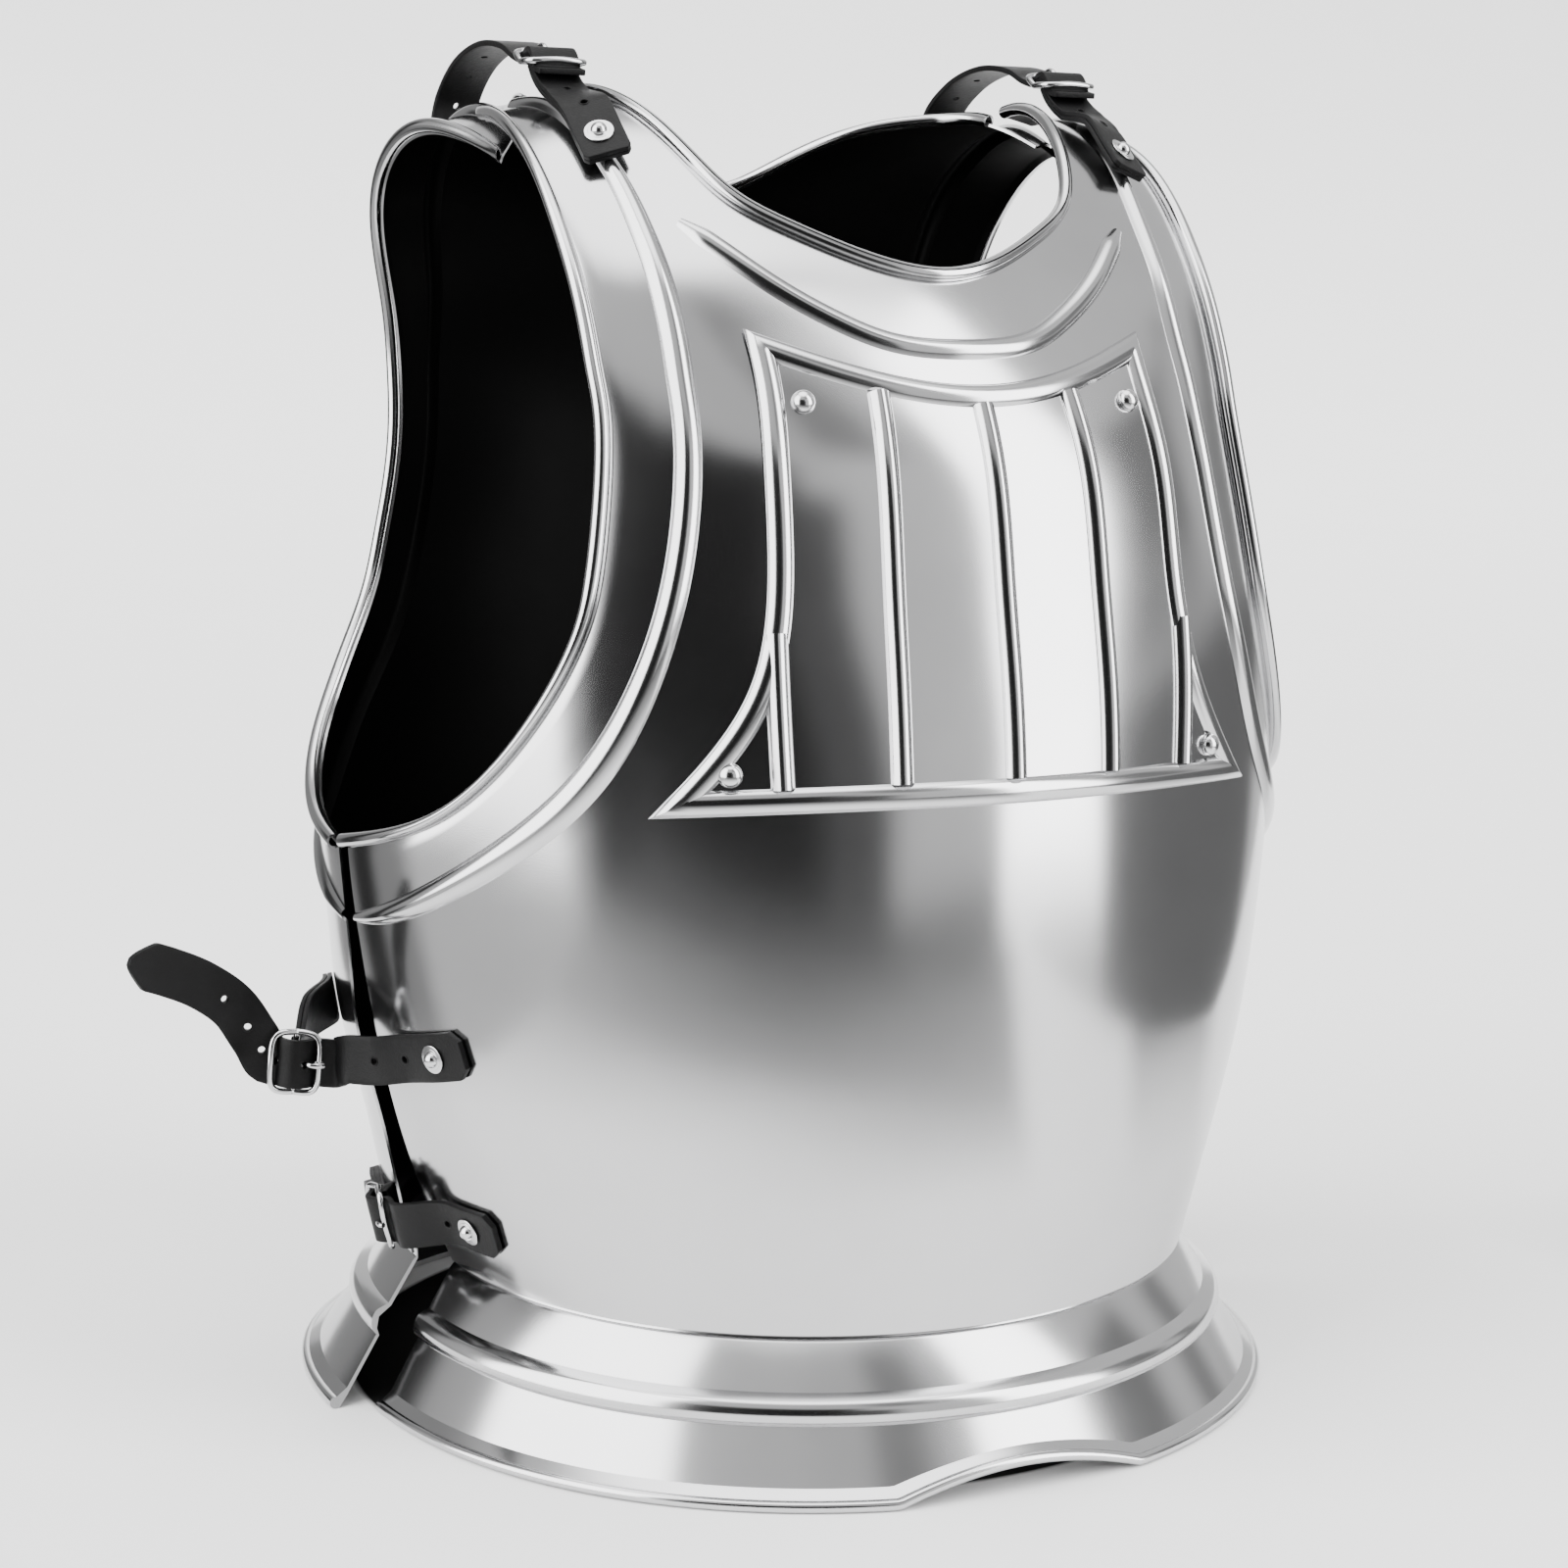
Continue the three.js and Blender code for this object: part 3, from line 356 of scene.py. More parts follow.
def grid_object(name, rings, closed_ring=False, closed_path=False, caps=False, dark=()):
    """Mesh object through rings of points given in millimetres; dark lists the strips along
    it that take the second material."""
    size = len(rings[0])
    bm = bmesh.new()
    rows = [[bm.verts.new(p * MM) for p in ring] for ring in rings]
    count = len(rings) if closed_path else len(rings) - 1
    for i in range(count):
        a, b = rows[i], rows[(i + 1) % len(rows)]
        for k in range(size if closed_ring else size - 1):
            m = (k + 1) % size
            quad = [a[k], b[k], b[m], a[m]]
            if len({tuple(round(c, 7) for c in v.co) for v in quad}) > 2:
                bm.faces.new(quad).material_index = 1 if k in dark else 0
    if caps:
        bm.faces.new(rows[0])
        bm.faces.new(rows[-1])
    bmesh.ops.remove_doubles(bm, verts=bm.verts, dist=2e-6)
    bmesh.ops.recalc_face_normals(bm, faces=bm.faces)
    mesh = bpy.data.meshes.new(name)
    bm.to_mesh(mesh)
    bm.free()
    obj = bpy.data.objects.new(name, mesh)
    bpy.context.scene.collection.objects.link(obj)
    select_only(obj)
    return obj


def modifier(obj, kind, **settings):
    """Adds a modifier with its settings and applies it."""
    select_only(obj)
    mod = obj.modifiers.new(kind.title(), kind)
    for key, value in settings.items():
        setattr(mod, key, value)
    bpy.ops.object.modifier_apply(modifier=mod.name)
    return obj


def face_out(obj, probe):
    """Turns a sheet over when its faces look towards the probe point (millimetres)."""
    mesh = obj.data
    score = sum(p.normal.dot(p.center - probe * MM) * p.area for p in mesh.polygons)
    return edit(obj, bpy.ops.mesh.flip_normals) if score < 0 else obj


def join(objects):
    """Joins objects into the first of them."""
    bpy.ops.object.select_all(action="DESELECT")
    for obj in objects:
        obj.select_set(True)
    bpy.context.view_layer.objects.active = objects[0]
    if len(objects) > 1:
        bpy.ops.object.join()
    return bpy.context.view_layer.objects.active


def finish_piece(obj, node, angle=30.0, mirror=False):
    """Moves a piece into the frame, smooths it and hands it over in place of its CAD node."""
    select_only(obj)
    if mirror:
        obj.scale = (-1, 1, 1)
        apply_place(location=False, rotation=False)
        edit(obj, bpy.ops.mesh.normals_make_consistent, inside=False)
    obj.location = SHIFT
    apply_place(rotation=False, scale=False)
    bpy.ops.object.shade_smooth_by_angle(angle=math.radians(angle))
    obj.name = node + "_look"
    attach(obj, "root")
    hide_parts(node)
    return obj


def use(obj, *materials):
    """Gives an object its materials and returns it."""
    for material in materials:
        obj.data.materials.append(material)
    return obj


# ---- materials

def linear(code):
    """Linear colour from an sRGB hex code."""
    parts = [int(code[i:i + 2], 16) / 255 for i in (1, 3, 5)]
    return tuple(c / 12.92 if c <= 0.04045 else ((c + 0.055) / 1.055) ** 2.4 for c in parts) + (1.0,)


def node(tree, kind, settings=None, links=None):
    """Adds a shader node, sets its inputs and properties, and links it to earlier sockets."""
    made = tree.nodes.new(kind)
    for key, value in (settings or {}).items():
        if isinstance(key, int) or key in made.inputs:
            made.inputs[key].default_value = value
        else:
            setattr(made, key, value)
    for key, socket in (links or {}).items():
        tree.links.new(socket, made.inputs[key])
    return made


def maths(tree, operation, a, b=None):
    """Maths node on sockets or plain numbers."""
    values = {i: v for i, v in enumerate((a, b)) if v is not None}
    links = {i: v for i, v in values.items() if isinstance(v, bpy.types.NodeSocket)}
    numbers = {i: v for i, v in values.items() if i not in links}
    made = node(tree, "ShaderNodeMath", {"operation": operation}, links)
    for i, v in numbers.items():
        made.inputs[i].default_value = v
    return made.outputs["Value"]


def bearing(tree, way):
    """Angle of a vector round from -Y towards +X, in radians, and its height."""
    part = node(tree, "ShaderNodeSeparateXYZ", None, {"Vector": way}).outputs
    return maths(tree, "ARCTAN2", part["X"], maths(tree, "MULTIPLY", part["Y"], -1.0)), part["Z"]


class Finish:
    """Material under construction: its methods add nodes and return their results."""

    def __init__(self, name):
        self.material = bpy.data.materials.new(name)
        self.material.use_nodes = True
        self.tree = self.material.node_tree
        self.place = node(self.tree, "ShaderNodeTexCoord").outputs["Object"]

    def mapped(self, scale, location=(0, 0, 0)):
        """The object's own coordinates, scaled and moved."""
        made = node(self.tree, "ShaderNodeMapping", {"Scale": scale, "Location": location},
                    {"Vector": self.place})
        return made.outputs["Vector"]

    def noise(self, scale, detail, roughness=0.5, place=None):
        """Cloudy value from 0 to 1."""
        settings = {"Scale": scale, "Detail": detail, "Roughness": roughness}
        where = self.place if place is None else place
        return node(self.tree, "ShaderNodeTexNoise", settings, {"Vector": where}).outputs["Fac"]

    def length(self, vector):
        """Length of a vector."""
        made = node(self.tree, "ShaderNodeVectorMath", {"operation": "LENGTH"}, {"Vector": vector})
        return made.outputs["Value"]

    def spread(self, value, low, high, start=0.0, stop=1.0):
        """Value mapped from start and stop to low and high."""
        settings = {"From Min": start, "From Max": stop, "To Min": low, "To Max": high}
        return node(self.tree, "ShaderNodeMapRange", settings, {"Value": value}).outputs["Result"]

    def ramp(self, value, stops):
        """Colour ramp through stops of place and colour."""
        made = node(self.tree, "ShaderNodeValToRGB", None, {"Fac": value})
        elements = made.color_ramp.elements
        for i, (place, colour) in ((0, stops[0]), (1, stops[-1])):
            elements[i].position = place
            elements[i].color = colour
        for place, colour in stops[1:-1]:
            elements.new(place).color = colour
        return made.outputs["Color"]

    def bump(self, height, strength, distance, normal=None):
        """Relief from a height, laid over an earlier one if there is one."""
        links = {"Height": height} if normal is None else {"Height": height, "Normal": normal}
        made = node(self.tree, "ShaderNodeBump", {"Strength": strength, "Distance": distance}, links)
        return made.outputs["Normal"]

    def coat(self, **sockets):
        """Sets the shader's inputs from results or plain values, and returns the material."""
        shader = self.tree.nodes["Principled BSDF"]
        for key, value in sockets.items():
            target = shader.inputs[SOCKETS.get(key, key.title())]
            if isinstance(value, bpy.types.NodeSocket):
                self.tree.links.new(value, target)
            else:
                target.default_value = value
        return self.material


SOCKETS = {"colour": "Base Color", "ior": "IOR", "specular": "Specular IOR Level"}


def steel(name, colour, rough, grain, swing):
    """Polished plate: a metal with cloudy roughness, faint smears in its tone and a fine
    grain from the polishing wheel."""
    made = Finish(name)
    base = linear(colour)
    smear = tuple(c * 0.93 for c in base[:3]) + (1,)
    clouds = made.noise(14.0, 5.0, 0.6)
    lines = made.noise(1.0, 2.0, place=made.mapped((420.0, 420.0, 2600.0)))
    return made.coat(colour=made.ramp(clouds, [(0.3, smear), (0.7, base)]),
                     roughness=made.spread(clouds, rough - swing, rough + swing),
                     normal=made.bump(lines, grain, 0.00004), metallic=1.0)


def black_paint():
    """Satin black paint inside the plates, slightly clouded, with a fine orange peel."""
    made = Finish("satin black paint")
    return made.coat(colour=linear("#050505"), ior=1.35, specular=0.06,
                     roughness=made.spread(made.noise(18.0, 4.0), 0.32, 0.5),
                     normal=made.bump(made.noise(900.0, 2.0), 0.12, 0.0001))


def black_leather():
    """Smooth black strap leather: a pebbled grain, small pores and worn, greyer patches."""
    made = Finish("black strap leather")
    cells = node(made.tree, "ShaderNodeTexVoronoi", {"Scale": 1100.0}, {"Vector": made.place})
    pores = made.noise(520.0, 6.0, 0.65)
    wear = [(0.35, linear("#050505")), (0.72, linear("#0b0b0c"))]
    grain = made.bump(cells.outputs["Distance"], 0.35, 0.00018)
    return made.coat(colour=made.ramp(made.noise(60.0, 4.0), wear), ior=1.45, specular=0.2,
                     roughness=made.spread(pores, 0.38, 0.6),
                     normal=made.bump(pores, 0.3, 0.00025, grain))


# Painted shade on the paper floor, standing in for the light's falloff: metres from the middle of the
# cuirass over which it turns grey, its greys along them, and the directions, in radians, over which
# the painted shade fades in at either side. One beam of painted light stays white: its direction,
# and how far off it the painted shade fades in.
PAINTED_FALLOFF_RUN = (0.4, 1.5)
PAINTED_FALLOFF_GREYS = [(0, "#ffffff"), (0.13, "#d8d8d8"), (0.36, "#8c8c8c"), (1, "#303030")]
PAINTED_FALLOFF_SIDES = ((-2.44, -2.09), (1.66, 1.48))
PAINTED_BEAM, PAINTED_BEAM_EDGE = 0.75, (0.22, 0.32)
PAINTED_SHADOW_HALF = (0.213, 0.192)     # half width and half depth of the painted shadow inside the skirts, in metres
# how softly the painted shadow inside the skirts fades out at its edge
PAINTED_SHADOW_EDGE = (1.0, 0.985)


def studio_white():
    """Matt white paper floor with a barely visible mottle. In front a painted shade greys it with
    distance, save along one beam of painted light; an oval of painted shadow lies inside the skirts."""
    made = Finish("matt white studio paper")
    tree = made.tree
    mottle = made.ramp(made.noise(3.0, 3.0), [(0, linear("#f4f4f4")), (1, linear("#f7f7f7"))])
    spot = made.mapped((1.0, 1.0, 0.0), tuple(-SHIFT))
    # painted shade: the floor greys with distance from the cuirass, standing in for the light's falloff
    run = made.spread(made.length(spot), 0.0, 1.0, *PAINTED_FALLOFF_RUN)
    painted_falloff = made.ramp(run, [(place, linear(code)) for place, code in PAINTED_FALLOFF_GREYS])
    turn, _ = bearing(tree, spot)
    left, right = (made.spread(turn, 0.0, 1.0, *edge) for edge in PAINTED_FALLOFF_SIDES)
    # painted light: along one beam the floor stays white
    apart = maths(tree, "ABSOLUTE", maths(tree, "SUBTRACT", turn, PAINTED_BEAM))
    beside = made.spread(apart, 0.0, 1.0, *PAINTED_BEAM_EDGE)
    painted_shade_mask = maths(tree, "MULTIPLY", maths(tree, "MULTIPLY", left, right), beside)
    # painted shade laid over the white paper, except along the painted beam
    grey = node(tree, "ShaderNodeMix", {"data_type": "RGBA", "blend_type": "MULTIPLY"},
                {0: painted_shade_mask, 6: mottle, 7: painted_falloff})
    # painted shadow: an oval inside the skirts where the floor turns near black, standing in for the shade
    # there
    wide, deep = (1 / half for half in PAINTED_SHADOW_HALF)
    reach = made.length(made.mapped((wide, deep, 0.0), (-SHIFT.x * wide, -SHIFT.y * deep, 0.0)))
    shade = node(tree, "ShaderNodeMix", {"data_type": "RGBA", 7: linear("#080808")},
                 {0: made.spread(reach, 0.0, 1.0, *PAINTED_SHADOW_EDGE), 6: grey.outputs[2]})
    return made.coat(colour=shade.outputs[2], roughness=0.85, specular=0.2)


MATERIALS = {}


def make_materials():
    """Fills MATERIALS."""
    MATERIALS["steel"] = steel("satin polished steel plate", "#c8c8c9", 0.15, 0.08, 0.02)
    MATERIALS["rivet"] = steel("bright rivet steel", "#cfcfd0", 0.16, 0.06, 0.03)
    MATERIALS["wire"] = steel("bright buckle wire", "#c8c8c9", 0.14, 0.06, 0.03)
    MATERIALS["paint"] = black_paint()
    MATERIALS["leather"] = black_leather()
    MATERIALS["floor"] = studio_white()


# ---- plates

LIP = [(4.4, -1.2), (3.2, -0.9), (1.6, -0.3)]   # sheet running in under the rolled arm edge
FOOT_PARTS, RIDGE_PARTS, BODY_PARTS = 4, 10, 34
FULL_RIDGE = 10     # width from which a ridge has its full height
RIDGE_POWER = 0.8   # below 1 the ridge is fuller than a half wave
ASIDE = 4           # a point this far past the arm edge gives the way out of the plate
NUDGE = 0.02        # half the span of the outline whose ends give its direction
# Rolled edges: their centre out from the plate's edge and above it, radius, wall as a share
# of the sheet, degrees where the arc starts and stops, and its parts
ARM_ROLL, NECK_ROLL = table("out up radius wall start stop parts", [
    (4.2, 1.9, 3.2, 0.8, -105, 222, 22),
    (0, 1.2, 3.0, 0.8, 95, 440, 20),
])
MIRROR = {"use_axis": (True, False, False), "merge_threshold": 2e-5}


def c_ring(foot, out, up, roll, sheet):
    """Open rolled section beside a foot on the plate: an arc of sheet seen end on."""
    centre = foot + out * roll["out"] + up * roll["up"]
    start, parts = roll["start"], roll["parts"]
    ring = []
    for inset, order in ((0, range(parts + 1)), (sheet * roll["wall"], range(parts, -1, -1))):
        r = roll["radius"] - inset
        for k in order:
            a = math.radians(start + (roll["stop"] - start) * k / parts)
            ring.append(centre + out * (r * math.cos(a)) + up * (r * math.sin(a)))
    return ring


def plate(name, skin, lines, props, extra):
    """Half plate as a sheet with its ridge pressed in, thickened and mirrored, then its
    rolled arm and neck edges."""
    at = columns(lines)
    edge, neck = outline(lines)
    fine, thick = props.fineness, props.sheet / MM
    sheet, arm_roll, neck_roll = [], [], []
    for i in range((len(lines) - 1) * fine + 1):
        u = i / fine
        arm, near, far = ((at[k + "A"](u), at[k + "R"](u)) for k in ("arm", "side", "chest"))
        out = edge(u)
        stretch = (skin.point(*arm) - skin.point(*near)).length
        ridge = (skin.point(*near) - skin.point(*far)).length
        height = props.ridge_height / MM * min(1, ridge / FULL_RIDGE)
        spots = [(blend(arm, near, -reach / stretch), lift) for reach, lift in LIP]
        spots += [(blend(arm, near, k / FOOT_PARTS), 0) for k in range(FOOT_PARTS)]
        for k in range(RIDGE_PARTS + 1):
            t = k / RIDGE_PARTS
            lift = height * math.sin(math.pi * t) ** RIDGE_POWER if 0 < t < 1 else 0
            spots.append((blend(near, far, t), lift))
        spots += [(blend(far, out, k / BODY_PARTS), 0) for k in range(1, BODY_PARTS + 1)]
        sheet.append([skin.lifted(*spot, lift) for spot, lift in spots])
        foot, n = skin.point(*arm), skin.normal(*arm)
        reach = (skin.point(*blend(arm, near, -ASIDE / stretch)) - foot).normalized()
        reach = (reach - n * reach.dot(n)).normalized()
        arm_roll.append(c_ring(foot, reach, n, ARM_ROLL, thick))
        if u >= neck:
            ahead, behind = edge(min(u + NUDGE, len(lines) - 1)), edge(max(u - NUDGE, neck))
            tangent = skin.point(*ahead) - skin.point(*behind) if u > neck else Vector((1, 0, 0))
            n = skin.normal(*out)
            side = tangent.normalized().cross(n).normalized()
            neck_roll.append(c_ring(skin.point(*out), side, n, NECK_ROLL, thick))
    body = face_out(grid_object(name, sheet), INSIDE)
    modifier(body, "MIRROR", **MIRROR)
    use(body, MATERIALS["steel"], MATERIALS["paint"])
    modifier(body, "SOLIDIFY", thickness=props.sheet, offset=-1, use_even_offset=False,
             material_offset=1, material_offset_rim=0)
    rolls = []
    for rings in (arm_roll, neck_roll):
        roll = grid_object(name + "_roll", rings, closed_ring=True, caps=rings is arm_roll)
        if rings is neck_roll:
            cap_end(roll, rings[-1])
        modifier(roll, "MIRROR", **MIRROR)
        rolls.append(use(roll, MATERIALS["steel"]))
    return join([body, *rolls, *extra])


def cap_end(obj, ring):
    """Closes the cut end of a swept sheet at one of its rings."""
    bm = bmesh.new()
    bm.from_mesh(obj.data)
    near = [min(bm.verts, key=lambda v: (v.co - p * MM).length_squared) for p in ring]
    edges = set()
    for a, b in zip(near, near[1:] + near[:1]):
        edge = bm.edges.get((a, b)) if a is not b else None
        if edge:
            edges.add(edge)
    made = bmesh.ops.triangle_fill(bm, edges=list(edges), use_beauty=True)
    for face in made["geom"]:
        if isinstance(face, bmesh.types.BMFace):
            face.material_index = 0
    bmesh.ops.recalc_face_normals(bm, faces=bm.faces)
    bm.to_mesh(obj.data)
    bm.free()


def rounded(width, height, parts, power=0.75):
    """Half-round section over a flat foot: pairs of sideways place and height."""
    pairs = []
    for k in range(parts + 1):
        s = -1 + 2 * k / parts
        pairs.append((s * width / 2, height * max(0.0, math.cos(s * math.pi / 2)) ** power))
    return pairs


def rib(name, skin, line, base, section, taper=None, closed=False):
    """Raised rib along a line of angle and row on a skin; corners of a closed line are mitred."""
    n = len(line)
    rings = []
    for i, spot in enumerate(line):
        here = skin.point(*spot)
        ahead = skin.point(*line[(i + 1) % n if closed else min(i + 1, n - 1)]) - here
        behind = here - skin.point(*line[(i - 1) % n if closed else max(i - 1, 0)])
        ahead = ahead.normalized() if ahead.length > 1e-6 else behind.normalized()
        behind = behind.normalized() if behind.length > 1e-6 else ahead
        along = (ahead + behind).normalized()
        up = skin.normal(*spot)
        side = along.cross(up).normalized()
        widen = 1 / max(along.dot(ahead), 0.35) if closed else 1
        k = taper(i / (n - 1)) if taper else 1
        foot = here + up * base
        rings.append([foot - up * 0.5 - side * (section[0][0] * -k * widen)]
                     + [foot + side * (s * k * widen) + up * (h * k) for s, h in section]
                     + [foot - up * 0.5 + side * (section[-1][0] * k * widen)])
    return grid_object(name, rings, closed_ring=True, closed_path=closed, caps=not closed)


BEAD_PARTS = 120
BEAD_WIDTH = 10
BEAD_SEAT = -0.1    # how far its foot lies above the plate
BEAD_TIP, BEAD_FILL = 0.5, 14   # share of its size at a tip, and how fast it grows from there


def neck_bead(props):
    """Raised bead below the neck, narrowing towards both ends."""
    angle, level = mirrored(NECK_BEAD, "angle"), mirrored(NECK_BEAD, "row")
    span = 2 * (len(NECK_BEAD) - 1)
    stations = [span * k / BEAD_PARTS for k in range(BEAD_PARTS + 1)]
    section = rounded(BEAD_WIDTH, props.bead_height / MM, 10)
    bead = rib("neck_bead", front, [(angle(u), level(u)) for u in stations], BEAD_SEAT, section,
               lambda t: min(1, BEAD_TIP + BEAD_FILL * min(t, 1 - t)))
    return use(bead, MATERIALS["steel"])


PANEL_PARTS, PANEL_HALF_PARTS = 63, 30
BORDER_HEIGHT, BORDER_POWER = 3.2, 0.6
BORDER_INSET = 0.966    # its middle line, as a share of the panel's half width
BORDER_TRIM = (0.15, 0.13)   # how far it stays inside the bottom and the top, in rows
BORDER_ACROSS, BORDER_UP = 40, 60
RIB_HEIGHT, RIB_POWER = 4.2, 0.7
RIB_START, RIB_LENGTH, RIB_PARTS = 0.35, 6.3, 40
SEAT = 0.1              # how far border and ribs sink into the panel


def panel_level(at, u, t):
    """Row of the panel at height u and share t of its half width."""
    return at["middleR"](u) + (at["sideR"](u) - at["middleR"](u)) * t * t


def chest_panel(props):
    """Applied panel: a thin sheet riding on the chest, with a raised border and ribs."""
    at = columns(PANEL_LINES)
    top = len(PANEL_LINES) - 1
    lift = props.panel_lift / MM + props.sheet / MM

    def level_line(u, parts, inset, order):
        """Points across the panel at height u."""
        wide = at["sideA"](u) * inset
        return [(wide * k / parts, panel_level(at, u, k / parts)) for k in order]

    half = PANEL_HALF_PARTS
    rings = []
    for i in range(PANEL_PARTS + 1):
        spots = level_line(top * i / PANEL_PARTS, half, 1, range(-half, half + 1))
        rings.append([front.lifted(*spot, lift) for spot in spots])
    sheet = face_out(grid_object("chest_panel", rings), INSIDE)
    modifier(sheet, "SOLIDIFY", thickness=props.sheet, offset=-1)
    low, high = BORDER_TRIM[0], top - BORDER_TRIM[1]
    climb = [low + (high - low) * k / BORDER_UP for k in range(BORDER_UP + 1)]
    n = BORDER_ACROSS
    edge = level_line(low, n, BORDER_INSET, range(-n, n))
    edge += [(at["sideA"](u) * BORDER_INSET, at["sideR"](u)) for u in climb[:-1]]
    edge += level_line(high, n, BORDER_INSET, range(n, -n, -1))
    edge += [(-at["sideA"](u) * BORDER_INSET, at["sideR"](u)) for u in climb[:0:-1]]
    border = rounded(props.border_width / MM, BORDER_HEIGHT, 12, BORDER_POWER)
    parts = [sheet, rib("border", front, edge, lift - SEAT, border, closed=True)]
    shape = rounded(props.rib_width / MM, RIB_HEIGHT, 12, RIB_POWER)
    for row in PANEL_RIBS:
        for sign in ((1, -1) if row["footA"] else (1,)):
            line = []
            for k in range(RIB_PARTS + 1):
                u = RIB_START + RIB_LENGTH * row["part"] * k / RIB_PARTS
                a = row["footA"] + (row["topA"] - row["footA"]) * k / RIB_PARTS
                line.append((sign * a, panel_level(at, u, a / at["sideA"](u))))
            parts.append(rib("rib", front, line, lift - SEAT, shape))
    return use(join(parts), MATERIALS["steel"])


RIM_START, RIM_SWEEP, RIM_PARTS = 105, 265, 16   # degrees of the rolled rim, and its parts


def skirt(name, skin, spread, arch, ends, props):
    """Flared skirt swept round the waist, its edge rolled; its ends slant from floor to waist."""
    out, height, radius = SKIRT_RIM
    rim = []
    for k in range(RIM_PARTS + 1):
        a = math.radians(RIM_START - RIM_SWEEP * k / RIM_PARTS)
        rim.append((out + radius * math.cos(a), height + radius * math.sin(a)))
    section = SKIRT_OUTSIDE + rim + SKIRT_INSIDE
    first_inside = len(SKIRT_OUTSIDE) + len(rim)
    rings = []
    steps = props.skirt_steps
    floor_end, waist_end = ends
    for i in range(steps + 1):
        share = 2 * i / steps - 1
        ring = []
        for o, h in section:
            angle = share * (floor_end + (waist_end - floor_end) * h / WAIST_Z)
            away = skin.normal(angle, 0)
            away.z = 0
            p = skin.point(angle, 0) + away.normalized() * (o * spread if o > 0 else o)
            low = min(1, max(0, (ARCH_TOP - h) / ARCH_DEPTH))
            slide = arch * max(0, 1 - (p.x / (props.arch_half / MM)) ** 2) * low
            p -= away.normalized() * (slide * ARCH_PULL)
            p.z = h + slide
            ring.append(p)
        rings.append(ring)
    obj = grid_object(name, rings, closed_ring=True, dark=range(first_inside, len(section) - 1))
    cap_end(obj, rings[0])
    cap_end(obj, rings[-1])
    return use(obj, MATERIALS["steel"], MATERIALS["paint"])


# ---- rivets, buckles, leather

def aimed(obj, spot, normal):
    """Turns a piece built on +Z to the normal, moves it to the spot and applies both."""
    select_only(obj)
    obj.rotation_mode = "QUATERNION"
    obj.rotation_quaternion = Vector((0, 0, 1)).rotation_difference(normal)
    obj.location = spot * MM
    apply_place()
    return obj


def cylinder(radius, depth, bottom, bevel, sides=40):
    """Upright cylinder from a bottom height, its edges bevelled if asked."""
    bpy.ops.mesh.primitive_cylinder_add(
        vertices=sides, radius=radius * MM, depth=depth * MM, location=(0, 0, (bottom + depth / 2) * MM))
    obj = bpy.context.view_layer.objects.active
    apply_place()
    if bevel:
        modifier(obj, "BEVEL", width=bevel * MM, segments=3, limit_method="ANGLE")
    return obj


def dome(radius, height, bottom):
    """Upper half of a flattened ball."""
    bpy.ops.mesh.primitive_uv_sphere_add(segments=40, ring_count=24, radius=radius * MM)
    obj = bpy.context.view_layer.objects.active
    edit(obj, bpy.ops.mesh.bisect, plane_co=(0, 0, 0), plane_no=(0, 0, 1), use_fill=True, clear_inner=True)
    obj.scale = (1, 1, height / radius)
    obj.location = (0, 0, bottom * MM)
    apply_place()
    return obj


def strap_rivet(spot, normal):
    """Washer with a turned step and a domed head."""
    parts = [cylinder(6.3, 0.9, 0, 0.3), cylinder(4.7, 0.35, 0.7, 0.15), dome(3.5, 3.2, 0.9)]
    return use(aimed(join(parts), spot, normal), MATERIALS["rivet"])


def panel_rivet(spot, normal):
    """Round head on a thin collar."""
    parts = [cylinder(5.0, 0.7, 0, 0.25), dome(4.9, 4.2, 0.5)]
    return use(aimed(join(parts), spot, normal), MATERIALS["rivet"])


def circle(parts):
    """Angles round a full circle."""
    return [2 * math.pi * k / parts for k in range(parts)]


def facing(along, side, hint):
    """Normal of a strap, on the side of the hint."""
    face = along.cross(side).normalized()
    return -face if face.dot(hint) < 0 else face


def wire(points, radius, sides=14, closed=False):
    """Round wire through points, its section carried along without twisting."""
    n = len(points)
    rings, up = [], None
    for i, p in enumerate(points):
        a = points[(i - 1) % n] if closed or i else p
        b = points[(i + 1) % n] if closed or i < n - 1 else p
        t = (b - a).normalized()
        if up is None:
            up = t.orthogonal().normalized()
        up = (up - t * up.dot(t)).normalized()
        side = t.cross(up)
        rings.append([p + (up * math.cos(w) + side * math.sin(w)) * radius for w in circle(sides)])
    return grid_object("wire", rings, closed_ring=True, closed_path=closed, caps=not closed)


class Axes:
    """Axes of a buckle: u along the strap, w across it and n away from the body."""

    def __init__(self, centre, along, across):
        self.centre = centre
        self.u = along.normalized()
        self.w = (across - self.u * across.dot(self.u)).normalized()
        self.n = self.u.cross(self.w)

    def at(self, u, w, h):
        return self.centre + self.u * u + self.w * w + self.n * h

    def stops(self, route, way=None):
        """Stops of a strap along u and n, lying across it or along the way given."""
        return [(self.at(u, 0, h), way or self.w) for u, h in route]


